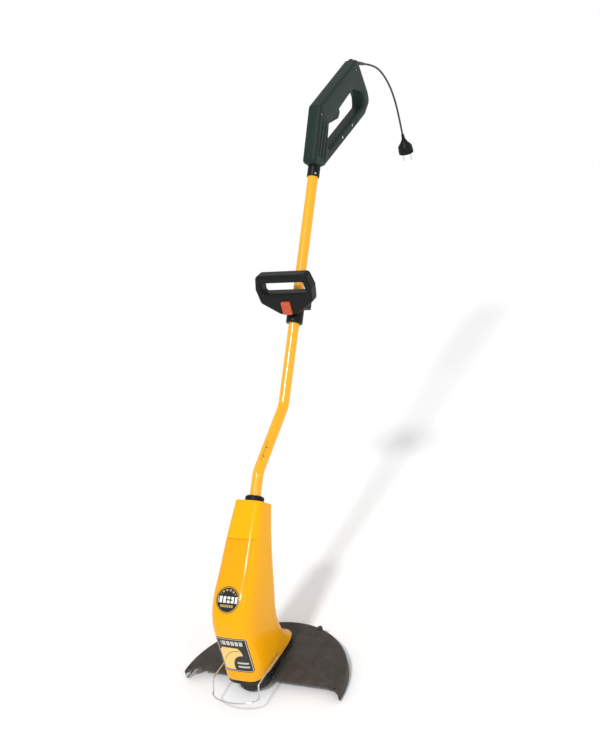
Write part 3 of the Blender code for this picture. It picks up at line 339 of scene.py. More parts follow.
def moulded(name, colour, roughness, grain, depth, shine=0.16, dust=0.2, scuffs=0.2):
    """Moulded plastic: a fine grain, faint flow marks, light scuffs, and dust that gathers low."""
    material, nodes, shader = new_finish(name)
    at = nodes.place()
    flow = nodes.noise(at, 14.0, 4.0)
    fine = nodes.cells(at, grain)
    mottle = nodes.noise(at, grain / 4, 2.0)
    scratch_at = nodes.place(turn=(0.4, 0.7, 0.3), stretch=(1, 9, 1))
    scratch = nodes.noise(scratch_at, 160.0, 5.0, 0.62).above(0.66, 0.03)
    _, _, z = at.split()
    low = 1 - z.above(0.055, 0.05)
    dirt = low * nodes.noise(at, 55.0, 5.0, 0.6).above(0.5, 0.2) * dust
    base = nodes.mix(flow, tone(colour, 0.86), tone(colour, 1.14))
    base = nodes.mix(scratch * scuffs, base, tone(tuple(c + 0.05 for c in colour), 1.25))
    base = nodes.mix(dirt, base, (0.22, 0.19, 0.13))
    rough = flow * 0.08 + (roughness - 0.04) + mottle * 0.06 + scratch * 0.12 + dirt * 0.5
    relief = fine * 0.6 + mottle * 0.4 + scratch * -0.35
    shade(nodes, shader, Base_Color=base, Roughness=rough, Normal=nodes.bump(relief, depth),
          Specular_IOR_Level=shine)
    return material


def gloss_housing(colour):
    """Glossy yellow shell: slight sink marks, painted shade towards the foot, a painted shaded front
    panel under the step with a painted shadow line along its edge, hairline scratches and ground dust.
    """
    material, nodes, shader = new_finish("housing_gloss")
    at = nodes.place()
    x, y, z = at.split()
    cloud = nodes.noise(at, 9.0, 3.0)
    peel = nodes.noise(at, 420.0, 2.0)
    hair_at = nodes.place(turn=(0.9, 0.2, 0.5), stretch=(1, 22, 1))
    hair = nodes.noise(hair_at, 120.0, 4.0, 0.6).above(0.69, 0.02)
    # painted shade: the shell is drawn darker and more orange towards its foot, as if less lit there;
    # deep is the darker tone for this painted shade, for the painted panel and crease below, and for
    # the random mottle
    painted_foot_shade = 1 - z.above(0.16, 0.14)
    deep = (colour[0] * 0.94, colour[1] * 0.80, colour[2] + 0.004)
    base = nodes.mix(cloud * 0.25 + painted_foot_shade * 0.45, colour, deep)
    edge, back, _ = station_at(STEP_LEVEL)
    slope = (back - edge).normalized()
    drop = (z - edge.z) * slope.y - (y - edge.y) * slope.z
    narrow = 1 - (x.size() + drop * 0.06).above(STEP_HALF_WIDTH, 0.0008)
    front = (edge.y + 0.035 - y).above(0) * (1 - drop.above(0.0, 0.0006)) * narrow
    # painted shade: the front panel under the step is drawn in the darker tone, so the cap above it
    # looks lit and the panel shaded
    panel = front * drop.above(-0.13, 0.09)
    base = nodes.mix(panel * 0.75, base, deep)
    # painted shadow: a dark line drawn along the step's edge, where the cap overhangs the panel
    crease = (drop.size() * -1.0 + 0.0012).above(0, 0.0008) * narrow
    base = nodes.mix(crease * (edge.y + 0.02 - y).above(0) * 0.5, base, tone(deep, 0.55))
    base = nodes.mix(hair * 0.25, base, (1.0, 0.75, 0.30))
    dirt = (1 - z.above(0.058, 0.02)) * nodes.noise(at, 90.0, 5.0, 0.65).above(0.53, 0.12)
    base = nodes.mix(dirt * 0.35, base, (0.30, 0.22, 0.10))
    rough = cloud * 0.06 + 0.17 + hair * 0.2 + dirt * 0.3
    relief = nodes.bump(peel, 0.02 * MM, nodes.bump(nodes.noise(at, 30.0, 2.0), 0.10 * MM))
    shade(nodes, shader, Base_Color=base, Roughness=rough, Normal=relief,
          Specular_IOR_Level=0.12, Coat_Weight=0.12, Coat_Roughness=0.05)
    return material


def gloss_paint(colour):
    """Painted tube: rub marks along it where the clamp slides, and a plain printed scale."""
    material, nodes, shader = new_finish("tube_paint")
    at = nodes.place()
    straight = nodes.place(turn=(TUBE_LEAN, 0, 0), stretch=(60, 60, 1.6))
    streak = nodes.noise(straight, 8.0, 4.0, 0.6)
    rub_low = HANDLE_FOOT.dot(ALONG) + CLAMP_LOW - 0.10
    rubbed = at.along(ALONG).within(rub_low, rub_low + 0.30, 0.015) * streak.above(0.61, 0.03)
    cloud = nodes.noise(at, 25.0, 3.0)
    base = nodes.mix(cloud, tone(colour, 0.95), tone(colour, 1.03))
    base = nodes.mix(rubbed * 0.4, base, (0.85, 0.62, 0.25))
    x, _, _ = at.split()
    reach = at.along(MIDDLE)
    start = LOWER_BEND.dot(MIDDLE)
    ticks = ((reach - start) * (math.pi / (4 * MM))).wave().size().above(0.80, 0.05)
    ticks = ticks * x.within(2.0 * MM, 4.5 * MM)
    long_ticks = ((reach - start) * (math.pi / (20 * MM))).wave().size().above(0.985, 0.004)
    long_ticks = long_ticks * x.within(2.0 * MM, 7.0 * MM)
    upper_side = Vector((0, -MIDDLE.z, MIDDLE.y))
    face = at.along(upper_side).above(LOWER_BEND.dot(upper_side))
    band = reach.within(start + 20 * MM, start + 66 * MM) * face
    base = nodes.mix((ticks + long_ticks).least(1.0) * band * 0.85, base, (0.02, 0.02, 0.02))
    peel = nodes.noise(at, 600.0, 2.0)
    rough = cloud * 0.05 + 0.16 + rubbed * 0.25
    relief = nodes.bump(peel * 0.5 + rubbed * -0.5, 0.02 * MM)
    shade(nodes, shader, Base_Color=base, Roughness=rough, Normal=relief,
          Specular_IOR_Level=0.3, Coat_Weight=0.7, Coat_Roughness=0.04)
    return material


def metal(name, colour, roughness, brushed=(1, 1, 14)):
    """Bare metal with drawn lines and light tarnish."""
    material, nodes, shader = new_finish(name)
    at = nodes.place()
    lines = nodes.noise(nodes.place(stretch=brushed), 420.0, 4.0, 0.6)
    cloud = nodes.noise(at, 60.0, 4.0)
    spots = nodes.noise(at, 240.0, 4.0, 0.6).above(0.64, 0.04) * 0.15
    base = nodes.mix(cloud, tone(colour, 0.88), tone(colour, 1.08))
    base = nodes.mix(spots, base, (0.18, 0.12, 0.08))
    rough = lines * 0.16 + (roughness - 0.06) + spots * 0.4
    shade(nodes, shader, Base_Color=base, Roughness=rough, Normal=nodes.bump(lines, 0.01 * MM),
          Metallic=1.0)
    return material


def laminated(name, colour):
    """Stacked sheet steel, with a dark line between the sheets."""
    material, nodes, shader = new_finish(name)
    at = nodes.place()
    _, _, z = at.split()
    sheet = (z * (math.pi / (0.65 * MM))).wave().size()
    line = 1 - sheet.above(0.25, 0.12)
    varnish = nodes.noise(at, 70.0, 4.0)
    base = nodes.mix(varnish, tone(colour, 0.85), tone(colour, 1.15))
    base = nodes.mix(line * 0.7, base, (0.02, 0.02, 0.02))
    shade(nodes, shader, Base_Color=base, Roughness=varnish * 0.15 + 0.35,
          Normal=nodes.bump(sheet, 0.08 * MM), Metallic=0.75)
    return material


def wound(name, colour, pitch, metallic=0.0):
    """Turns of wire or line laid side by side, with painted shade in the grooves between the turns."""
    material, nodes, shader = new_finish(name)
    at = nodes.place()
    _, _, z = at.split()
    turns = (z * (math.pi / pitch)).wave().size()
    tint = nodes.noise(at, 90.0, 3.0)
    base = nodes.mix(tint, tone(colour, 0.8), tone(colour, 1.15))
    # painted shade: the grooves between the turns are drawn darker, as if shaded
    base = nodes.mix((1 - turns.above(0.35, 0.2)) * 0.6, base, tone(colour, 0.25))
    shade(nodes, shader, Base_Color=base, Roughness=tint * 0.1 + 0.28,
          Normal=nodes.bump(turns, pitch * 0.35), Metallic=metallic)
    return material


def rubber(name, colour):
    """Soft black cord sheath: fine matt skin with dusty patches."""
    material, nodes, shader = new_finish(name)
    at = nodes.place()
    skin = nodes.noise(at, 900.0, 3.0)
    dusty = nodes.noise(at, 45.0, 5.0, 0.6).above(0.55, 0.12)
    base = nodes.mix(dusty * 0.25, colour, (0.11, 0.09, 0.07))
    shade(nodes, shader, Base_Color=base, Roughness=skin * 0.12 + 0.48 + dusty * 0.12,
          Normal=nodes.bump(skin, 0.03 * MM))
    return material


def worn_print(nodes, shader, base, grain, share, roughness):
    """Finishes a printed sticker: pale rubbed specks and an uneven sheen."""
    wear = nodes.noise(nodes.place(), grain, 4.0, 0.6)
    base = nodes.mix(wear.above(0.68, 0.02) * share, base, (0.35, 0.33, 0.30))
    shade(nodes, shader, Base_Color=base, Roughness=wear * 0.14 + roughness,
          Normal=nodes.bump(wear, 0.01 * MM))


def printed_badge(name):
    """A round dark sticker with a gold ring and a row of plain bars."""
    material, nodes, shader = new_finish(name)
    x, y, _ = nodes.add("ShaderNodeUVMap").split()
    reach = (x * x + y * y).power(0.5)
    gold, silver, ink = (0.55, 0.36, 0.08), (0.80, 0.80, 0.76), (0.008, 0.008, 0.008)
    ring = reach.within(0.90, 0.955, 0.01)
    bars = x.within(-0.80, 0.84, 0.01) * y.within(-0.24, 0.24, 0.01)
    bars = bars * (x * 9.5 + 0.5).wave().size().above(0.42, 0.06)
    notch = x.within(-0.80, 0.84) * y.size().within(-1, 0.045, 0.01)
    bars = bars * (1 - notch * (x * 4.75 + 0.9).wave().above(0.2, 0.05))
    angle = nodes.add("ShaderNodeMath", {0: y, 1: x}, operation="ARCTAN2")
    upper = reach.within(0.66, 0.80, 0.01) * y.above(0.40, 0.01)
    upper = upper * (angle * 15.0).wave().above(-0.2, 0.1)
    lower = y.within(-0.56, -0.38, 0.01) * x.within(-0.55, 0.55, 0.01)
    lower = lower * (x * 17.0).wave().size().above(0.35, 0.06)
    base = nodes.mix(ring, ink, gold)
    base = nodes.mix(bars, base, silver)
    base = nodes.mix(upper + lower, base, gold)
    worn_print(nodes, shader, base, 260.0, 0.4, 0.22)
    return material


def printed_label(name):
    """A dark sticker with a pale frame, a plain bar on top and a plain curved leaf below."""
    material, nodes, shader = new_finish(name)
    x, y, _ = nodes.add("ShaderNodeUVMap").split()
    cream, ink, pale = (0.93, 0.58, 0.17), (0.010, 0.010, 0.009), (0.55, 0.53, 0.47)
    edge = 1 - x.size().within(-1, 0.955, 0.006) * y.size().within(-1, 0.955, 0.006)
    title = y.within(0.58, 0.82, 0.012) * x.within(-0.66, 0.74, 0.012)
    title = title * (x * 11.5 + 0.4).wave().size().above(0.34, 0.05)

    def disc(centre_x, centre_y, radius):
        across, up = x - centre_x, (y - centre_y) * 1.04
        return 1 - (across * across + up * up).power(0.5).above(radius, 0.012)

    stem = x.within(-0.86, -0.02, 0.012) * y.within(-0.88, 0.42, 0.012)
    leaf = stem.most(disc(0.06, 0.02, 0.50) * (1 - y.above(0.42, 0.012)))
    leaf = leaf * (1 - disc(0.50, -0.66, 0.66)) * (1 - disc(-0.98, 0.56, 0.34))
    vein = disc(0.30, -0.80, 1.10) * (1 - disc(0.30, -0.80, 1.07)) * x.within(-0.70, 0.40, 0.02)
    leaf = leaf * (1 - vein)
    frame_line = x.size().most(y.size()).within(0.925, 0.955, 0.005)
    lines = x.within(0.08, 0.80, 0.012) * (y.within(-0.52, -0.42, 0.01) + y.within(-0.74, -0.64, 0.01))
    base = nodes.mix(leaf, ink, cream)
    base = nodes.mix((title + lines + frame_line).least(1.0), base, pale)
    base = nodes.mix(edge, base, (0.06, 0.055, 0.05))
    worn_print(nodes, shader, base, 240.0, 0.35, 0.20)
    return material


def studio_floor(colour):
    material, nodes, shader = new_finish("studio_floor")
    cloud = nodes.noise(nodes.place(), 3.0, 3.0)
    base = nodes.mix(cloud, tone(colour, 0.99), tone(colour, 1.01))
    shade(nodes, shader, Base_Color=base, Roughness=cloud * 0.1 + 0.75)
    return material


def make_finishes():
    """Every finish by name, from the scene's colours."""
    colours = bpy.context.scene.trimmer_colours
    return {
        "yellow_plastic": gloss_housing(tuple(colours.housing)),
        "yellow_paint": gloss_paint(tuple(colours.shaft)),
        "grip_plastic": moulded("grip_moulding", tuple(colours.grip), 0.42, 1300.0, 0.05 * MM),
        "black_plastic": moulded("black_moulding", tuple(colours.black), 0.36, 1500.0, 0.035 * MM),
        "guard_plastic": moulded("guard_moulding", tuple(colours.guard), 0.46, 1100.0, 0.05 * MM,
                                 dust=0.12, scuffs=0.12),
        "orange_plastic": moulded("button_moulding", tuple(colours.button), 0.34, 1500.0, 0.02 * MM,
                                  shine=0.4, scuffs=0.1),
        "cord_rubber": rubber("cord_sheath", (0.022, 0.021, 0.020)),
        "wire_steel": metal("bow_wire", (0.66, 0.72, 0.76), 0.20, (1, 9, 1)),
        "steel": metal("zinc_steel", (0.78, 0.78, 0.76), 0.28),
        "laminations": laminated("stacked_sheet", (0.24, 0.24, 0.25)),
        "copper": wound("copper_coils", (0.72, 0.30, 0.14), 0.9 * MM, 1.0),
        "carbon": moulded("brush_carbon", (0.03, 0.03, 0.03), 0.55, 900.0, 0.03 * MM),
        "nylon_line": wound("line_nylon", tuple(colours.line), 1.7 * MM),
        "badge": printed_badge("badge_print"),
        "label": printed_label("label_print"),
    }


FINISHES = {}


def finish(name):
    if not FINISHES:
        FINISHES.update(make_finishes())
    return FINISHES[name]


# ---------------------------------------------------------------- mesh helpers


def moved(shape, matrix):
    bmesh.ops.transform(shape, matrix=matrix, verts=shape.verts)
    return shape


def add_object(name, data):
    obj = bpy.data.objects.new(name, data)
    bpy.context.scene.collection.objects.link(obj)
    return obj


def settled(shape, name, reach):
    """A bmesh as a mesh, its doubled points joined and its faces turned outwards."""
    bmesh.ops.remove_doubles(shape, verts=shape.verts, dist=reach)
    bmesh.ops.recalc_face_normals(shape, faces=shape.faces)
    mesh = bpy.data.meshes.new(name)
    shape.to_mesh(mesh)
    shape.free()
    return mesh


def loose(shape, name="tool"):
    """A bmesh as a plain object, for a modifier to work on."""
    return add_object(name, settled(shape, name, 1e-7))


def evaluated(obj):
    """The object's mesh with its modifiers applied, as a bmesh; the object is used up."""
    graph = bpy.context.evaluated_depsgraph_get()
    mesh = bpy.data.meshes.new_from_object(obj.evaluated_get(graph))
    shape = bmesh.new()
    shape.from_mesh(mesh)
    bpy.data.meshes.remove(mesh)
    bpy.data.objects.remove(obj)
    return shape


def combined(solid, tools, operation):
    """The solid after an exact Boolean with each tool; the tools are used up."""
    target = loose(solid, "solid")
    helpers = [loose(tool) for tool in tools]
    for helper in helpers:
        modifier = target.modifiers.new(helper.name, "BOOLEAN")
        modifier.operation = operation
        modifier.solver = "EXACT"
        modifier.object = helper
    shape = evaluated(target)
    for helper in helpers:
        bpy.data.objects.remove(helper)
    return shape


def cut(solid, *tools):
    return combined(solid, tools, "DIFFERENCE")


def join(solid, *tools):
    return combined(solid, tools, "UNION")


def keep(solid, region):
    return combined(solid, [region], "INTERSECT")


def softened(solid, voxel, passes):
    """The solid as one fused skin, with its inner corners filled and its edges eased."""
    obj = loose(solid, "softened")
    remesh = obj.modifiers.new("fuse", "REMESH")
    remesh.mode = "VOXEL"
    remesh.voxel_size = voxel
    smooth = obj.modifiers.new("ease", "SMOOTH")
    smooth.iterations = passes
    return evaluated(obj)


def piece(name, shape, surface, body, stands_for=(), crease=35):
    """Settles a bmesh as a finished piece that rides on a body."""
    mesh = settled(shape, name, 1e-6)
    mesh.materials.clear()
    mesh.materials.append(finish(surface))
    mesh.polygons.foreach_set("material_index", [0] * len(mesh.polygons))
    mesh.shade_smooth()
    mesh.set_sharp_from_angle(angle=math.radians(crease))
    obj = add_object(name, mesh)
    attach(obj, body)
    if stands_for:
        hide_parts(*stands_for)
    return obj


def along_axis(position, axis):
    """The matrix that puts Z along axis at position."""
    turn = Vector(axis).to_track_quat("Z", "Y").to_matrix().to_4x4()
    return Matrix.Translation(position) @ turn


def plane_matrix(origin, right, up, out):
    made = Matrix((right, up, out)).transposed().to_4x4()
    made.translation = origin
    return made


def facing_front(origin):
    """A plane whose X is the tool's right, whose Y is up, and that faces forwards."""
    return plane_matrix(origin, RIGHT, UP, -BACK)


def turns_round(count):
    return [2 * math.pi * k / count for k in range(count)]


def skin(bm, rings):
    """Joins each ring of points to the next; a point that repeats makes a triangle or nothing."""
    for low, high in zip(rings, rings[1:]):
        for k in range(len(low)):
            after = (k + 1) % len(low)
            corners = list(dict.fromkeys((low[k], low[after], high[after], high[k])))
            if len(corners) > 2:
                bm.faces.new(corners)


def turned(profile, position=(0, 0, 0), axis=(0, 0, 1), sides=48):
    """A round solid from a closed outline of (radius, height)."""
    bm = bmesh.new()
    rings = []
    for radius, height in profile:
        if radius == 0:
            rings.append([bm.verts.new((0, 0, height))] * sides)
            continue
        rings.append([
            bm.verts.new((radius * math.cos(turn), radius * math.sin(turn), height))
            for turn in turns_round(sides)
        ])
    skin(bm, rings + rings[:1])
    return moved(bm, along_axis(position, axis))


def ring_profile(inner, outer, low, high):
    return [(inner, low), (outer, low), (outer, high), (inner, high)]


def rod(radius, length, position=(0, 0, 0), axis=(0, 0, 1), sides=32):
    return turned(ring_profile(0, radius, 0, length), position, axis, sides)


def eased(profile, radii, steps=4):
    """A turned outline with an arc at each corner that has a radius in radii."""
    corners = [(*point, radii.get(place, 0)) for place, point in enumerate(profile)]
    return [tuple(point) for point in rounded(corners, steps)]


def block(low, high, space=None):
    low, high = Vector(low), Vector(high)
    bm = bmesh.new()
    bmesh.ops.create_cube(bm, size=1)
    moved(bm, Matrix.Diagonal(high - low).to_4x4())
    moved(bm, Matrix.Translation((high + low) / 2))
    return moved(bm, space or Matrix())


def inset(loop, distance):
    """The loop moved into its material, which is on the left of its direction of travel."""
    moved = []
    for k, here in enumerate(loop):
        before = (here - loop[k - 1]).normalized()
        after = (loop[(k + 1) % len(loop)] - here).normalized()
        first = Vector((-before.y, before.x))
        second = Vector((-after.y, after.x))
        moved.append(here + (first + second) * (distance / (1 + first.dot(second))))
    return moved


def rounded(corners, steps=8):
    """A closed loop from (x, y, radius) corners, with an arc at each."""
    loop = []
    for k, (x, y, radius) in enumerate(corners):
        here = Vector((x, y))
        back = (Vector(corners[k - 1][:2]) - here).normalized()
        ahead = (Vector(corners[(k + 1) % len(corners)][:2]) - here).normalized()
        if radius == 0:
            loop.append(here)
            continue
        half = back.angle(ahead) / 2
        start = here + back * (radius / math.tan(half))
        end = here + ahead * (radius / math.tan(half))
        centre = here + (back + ahead).normalized() * (radius / math.sin(half))
        sweep = (start - centre).angle_signed(end - centre)
        for step in range(steps + 1):
            turn = Matrix.Rotation(-sweep * step / steps, 2)
            loop.append(centre + turn @ (start - centre))
    return loop


def rounded_box(half_width, half_height, radius, steps=8):
    """An upright box as a loop, round its middle."""
    return rounded([(-half_width, -half_height, radius), (half_width, -half_height, radius),
                    (half_width, half_height, radius), (-half_width, half_height, radius)], steps)


def slab(loops, levels, space=None):
    """A plate from outlines (outer anticlockwise, holes clockwise) through (height, inset) levels."""
    bm = bmesh.new()
    ends = [[], []]
    for loop in loops:
        rings = [
            [bm.verts.new((p.x, p.y, height)) for p in inset(loop, step)]
            for height, step in levels
        ]
        skin(bm, rings)
        for side, ring in zip(ends, (rings[0], rings[-1])):
            side += [bm.edges.get((ring[k - 1], ring[k])) for k in range(len(loop))]
    for edges in ends:
        bmesh.ops.triangle_fill(bm, use_beauty=True, edges=edges)
    return moved(bm, space or Matrix())


def edge_levels(low, high, radius, steps=7):
    """Levels from a flat end at low to an edge rounded over radius at high, and a flat rim."""
    levels = [(low, 0.0)]
    for step in range(steps + 1):
        turn = math.pi / 2 * step / steps
        levels.append((high - radius + radius * math.sin(turn), radius * (1 - math.cos(turn))))
    return levels


def both_edges(half, radius, steps=7):
    upper = edge_levels(0, half, radius, steps)[1:]
    return [(-height, step) for height, step in reversed(upper)] + upper


def bent(points, radius, steps=12):
    """An open path with an arc at each inner corner."""
    path = [points[0]]
    for before, here, after in zip(points, points[1:], points[2:]):
        back = (before - here).normalized()
        ahead = (after - here).normalized()
        half = back.angle(ahead) / 2
        start = here + back * (radius / math.tan(half))
        centre = here + (back + ahead).normalized() * (radius / math.sin(half))
        axis = back.cross(ahead).normalized()
        sweep = math.pi - 2 * half
        for step in range(steps + 1):
            turn = Matrix.Rotation(-sweep * step / steps, 3, axis)
            path.append(centre + turn @ (start - centre))
    return path + [points[-1]]


def with_ends(points):
    """The points with one more, straight on, at each end."""
    return [points[0] * 2 - points[1], *points, points[-1] * 2 - points[-2]]


def between(a, b, c, d, t):
    """A point, t of the way from b to c, on a smooth curve through all four."""
    return 0.5 * (2 * b + (c - a) * t + (2 * a - 5 * b + 4 * c - d) * t**2
                  + (3 * b - a - 3 * c + d) * t**3)


def smooth_path(points, spacing):
    """Points an even distance apart on a smooth curve through the given ones."""
    ends = with_ends(points)
    fine = []
    for four in zip(ends, ends[1:], ends[2:], ends[3:]):
        fine += [between(*four, step / 20) for step in range(20)]
    fine.append(points[-1])
    length = sum((q - p).length for p, q in zip(fine, fine[1:]))
    count = max(2, round(length / spacing))
    picked, walked, goal = [fine[0]], 0.0, length / count
    for p, q in zip(fine, fine[1:]):
        step = (q - p).length
        while walked + step >= goal and len(picked) < count:
            picked.append(p.lerp(q, (goal - walked) / step))
            goal += length / count
        walked += step
    return picked + [fine[-1]]


def tube(path, radii, sides=32, side_way=RIGHT):
    """A solid round bar along a path; radii is one radius or one for each point."""
    if not isinstance(radii, (list, tuple)):
        radii = [radii] * len(path)
    bm = bmesh.new()
    rings = []
    reference = side_way
    for k, (here, radius) in enumerate(zip(path, radii)):
        direction = (path[min(k + 1, len(path) - 1)] - path[max(k - 1, 0)]).normalized()
        across = (reference - direction * reference.dot(direction)).normalized()
        reference = across
        up = direction.cross(across)
        rings.append([
            bm.verts.new(here + across * radius * math.cos(turn) + up * radius * math.sin(turn))
            for turn in turns_round(sides)
        ])
    skin(bm, rings)
    for ring in (rings[0], rings[-1]):
        bm.faces.new(ring)
    return bm


def merged(*shapes):
    """Several shapes as one bmesh, each left as its own shell."""
    result = bmesh.new()
    for shape in shapes:
        mesh = bpy.data.meshes.new("part")
        shape.to_mesh(mesh)
        shape.free()
        result.from_mesh(mesh)
        bpy.data.meshes.remove(mesh)
    return result


def on_shaft(s, n, x=0.0):
    return HANDLE_FOOT + ALONG * s + FORWARD * n + Vector((x, 0, 0))


SHAFT_PLANE = plane_matrix(HANDLE_FOOT, ALONG, FORWARD, RIGHT)
CLAMP_PLANE = SHAFT_PLANE @ Matrix.Translation((CLAMP_LOW, 0, 0))
LOOP_PLANE = facing_front(Vector((0, LOOP_Y, 0)))
GRIP_PLANE = SHAFT_PLANE @ Matrix.Translation((0.128, -0.015, 0)) @ Matrix.Rotation(
    math.radians(-35.2), 4, "Z")


def on_grip(g, h, x=0.0):
    return GRIP_PLANE @ Vector((g, h, x))


# ---------------------------------------------------------------- repeated details


def new_tree(name, inputs):
    """An empty Geometry Nodes tree with these inputs and one geometry output."""
    tree = bpy.data.node_groups.new(name, "GeometryNodeTree")
    for label, kind in inputs.items():
        tree.interface.new_socket(label, in_out="INPUT", socket_type=f"NodeSocket{kind}")
    tree.interface.new_socket("Geometry", in_out="OUTPUT", socket_type="NodeSocketGeometry")
    nodes = Nodes(tree)
    entry = tree.nodes.new("NodeGroupInput")
    return nodes, {output.name: Socket(nodes, output) for output in entry.outputs}


def coated(nodes, geometry, material):
    """Ends a tree: real geometry with its material."""
    solid = nodes.add("GeometryNodeRealizeInstances", {"Geometry": geometry})
    coat = nodes.add("GeometryNodeSetMaterial", {"Geometry": solid, "Material": material})
    nodes.tree.links.new(coat.socket, nodes.tree.nodes.new("NodeGroupOutput").inputs[0])
    return nodes.tree


def repeat_tree():
    """A Geometry Nodes tree that repeats its input in a row, round Z, or both."""
    nodes, given = new_tree("repeat_item", {
        "Geometry": "Geometry", "Count": "Int", "Step": "Vector", "Turn": "Float",
        "Material": "Material",
    })
    spots = nodes.add("GeometryNodeMeshLine", {"Count": given["Count"], "Offset": given["Step"]},
                      mode="OFFSET")
    place = nodes.add("GeometryNodeInputIndex")
    turn = nodes.add("ShaderNodeCombineXYZ", {"Z": place * given["Turn"]})
    copies = nodes.add("GeometryNodeInstanceOnPoints", {
        "Points": spots, "Instance": given["Geometry"], "Rotation": turn,
    })
    return coated(nodes, copies, given["Material"])


def coil_tree():
    """A Geometry Nodes tree that winds round wire into a spring on Z."""
    nodes, given = new_tree("wind_spring", {
        "Turns": "Float", "Radius": "Float", "Height": "Float", "Wire": "Float",
        "Resolution": "Int", "Material": "Material",
    })
    line = nodes.add("GeometryNodeCurveSpiral", {
        "Resolution": given["Resolution"], "Rotations": given["Turns"],
        "Start Radius": given["Radius"], "End Radius": given["Radius"], "Height": given["Height"],
    })
    wire = nodes.add("GeometryNodeCurvePrimitiveCircle", {"Resolution": 8, "Radius": given["Wire"]},
                     mode="RADIUS")
    wound_wire = nodes.add("GeometryNodeCurveToMesh",
                           {"Curve": line, "Profile Curve": wire, "Fill Caps": True})
    return coated(nodes, wound_wire, given["Material"])


TREES = {"repeat_item": repeat_tree, "wind_spring": coil_tree}


def grown(shape, tree_name, values, surface, space):
    """The shape after a tree with these inputs, moved to its space, as a bmesh."""
    obj = loose(shape)
    modifier = obj.modifiers.new(tree_name, "NODES")
    modifier.node_group = bpy.data.node_groups.get(tree_name) or TREES[tree_name]()
    values = {**values, "Material": finish(surface)}
    for item in modifier.node_group.interface.items_tree:
        if item.in_out == "INPUT" and item.name in values:
            modifier[item.identifier] = values[item.name]
    obj.data.update()
    return moved(evaluated(obj), space or Matrix())


def repeated(shape, count, step=(0, 0, 0), turn=0.0, surface="steel", space=None):
    values = {"Count": count, "Step": tuple(step), "Turn": turn}
    return grown(shape, "repeat_item", values, surface, space)


def spring(turns, radius, height, wire, space, surface="steel"):
    values = {"Turns": turns, "Radius": radius, "Height": height, "Wire": wire, "Resolution": 20}
    return grown(bmesh.new(), "wind_spring", values, surface, space)


def pan_screw(length):
    """A pan-head screw with a cross recess, its head at the origin and its shank along +Z."""
    head, shank = SCREW_HEAD, SCREW_SHANK
    profile = [(0, 0), (head * 0.72, 0.0), (head * 0.93, 0.35 * MM), (head, 0.9 * MM),
               (head, 2.2 * MM), (shank, 2.2 * MM), (shank, length), (0, length + 1 * MM)]
    body = turned(profile, sides=32)
    bars = [
        block((-head * 0.62, -head * 0.13, -1 * MM), (head * 0.62, head * 0.13, 1.0 * MM)),
        block((-head * 0.13, -head * 0.62, -1 * MM), (head * 0.13, head * 0.62, 1.0 * MM)),
    ]
    return cut(body, *bars)


def screw_seat(position, axis, depth, sides=28):
    """What is cut for a screw: a wide part for its head, then a narrow one for its shank."""
    head, shank = SCREW_HEAD + GAP, SCREW_SHANK + GAP
    profile = [(0, -6 * MM), (head, -6 * MM), (head, 2.5 * MM), (shank, 2.5 * MM),
               (shank, depth), (0, depth)]
    return turned(profile, position, axis, sides)


def screws(name, places, axis, length, body, stands_for):
    """One piece for a body's like screws; each is the same screw at its own place."""
    shapes = [repeated(pan_screw(length), 1, space=along_axis(place, axis)) for place in places]
    return piece(name, merged(*shapes), "steel", body, stands_for=stands_for, crease=30)


# ---------------------------------------------------------------- motor housing

STATIONS = (
    ((0.1330, 0.3300), (0.1740, 0.2920), 0.0300),
    ((0.0830, 0.2880), (0.1460, 0.2520), 0.0350),
    ((0.0310, 0.2410), (0.1220, 0.2080), 0.0395),
    ((-0.0120, 0.2040), (0.1010, 0.1620), 0.0430),
    ((-0.0330, 0.1720), (0.0860, 0.1280), 0.0440),
    ((-0.0385, 0.1400), (0.0800, 0.1020), 0.0445),
    ((-0.0400, 0.0900), (0.0840, 0.0760), 0.0445),
    ((-0.0420, 0.0600), (0.0950, 0.0580), 0.0445),
    ((-0.0440, BASE_Z), (0.1120, BASE_Z), 0.0445),
)
VENT_LOW = 122.5 * MM
VENT_PITCH = 13 * MM
STEP_LEVEL = 1.13  # where the cap's edge crosses the front
STEP_DEPTH = 1.1 * MM  # the front panel lies this far under the cap
STEP_FADE = 3.3  # the level where the panel is flush again
STEP_HALF_WIDTH = 30.5 * MM
BADGE_LEVEL = 2.92
LABEL_LEVELS = (5.0, 6.85)
PRINT_LIFT = 0.3 * MM
PRINT_BODY = 0.25 * MM


def ramp(value, low, high):
    """0 below low, 1 above high, smooth between."""
    share = max(0.0, min(1.0, (value - low) / (high - low)))
    return share * share * (3 - 2 * share)


def signed_power(value, power):
    return math.copysign(abs(value) ** power, value)


def station_at(level):
    """Front point, back point and half width, part of the way between stations."""
    rows = [Vector((*front, *back, width)) for front, back, width in STATIONS]
    place = min(int(level), len(rows) - 2)
    row = between(*with_ends(rows)[place:place + 4], level - place)
    return Vector((0, row[0], row[1])), Vector((0, row[2], row[3])), row[4]


def shell_point(level, turn, shrink=0.0):
    """A point of the housing's skin: turn is -90 degrees at the middle of the front."""
    front, back, width = station_at(level)
    middle, reach = (front + back) / 2, (back - front) / 2
    if level > STEP_LEVEL:
        panel = ramp(-math.sin(turn), 0.66, 0.76) * (1 - ramp(level, STEP_LEVEL + 0.4, STEP_FADE))
        shrink += STEP_DEPTH * panel
    across = signed_power(math.cos(turn), 0.5)
    along = signed_power(math.sin(turn), 0.5)
    return (middle + Vector(((width - shrink) * across, 0, 0))
            + reach.normalized() * (reach.length - shrink) * along)


def front_point(x, level, lift):
    """A point over the housing's front, x from its middle."""
    _, _, width = station_at(level)
    turn = -math.acos(max(-1, min(1, signed_power(x / width, 2))))
    return shell_point(level, turn, -lift)


def loft(rings):
    bm = bmesh.new()
    levels = [[bm.verts.new(point) for point in ring] for ring in rings]
    skin(bm, levels)
    bm.faces.new(levels[0])
    bm.faces.new(levels[-1])
    return bm


def even_turns(count):
    """Turns that give evenly spaced points on a squared-off oval."""
    return [math.atan2(signed_power(math.sin(turn), 1.6), signed_power(math.cos(turn), 1.6))
            for turn in turns_round(count)]


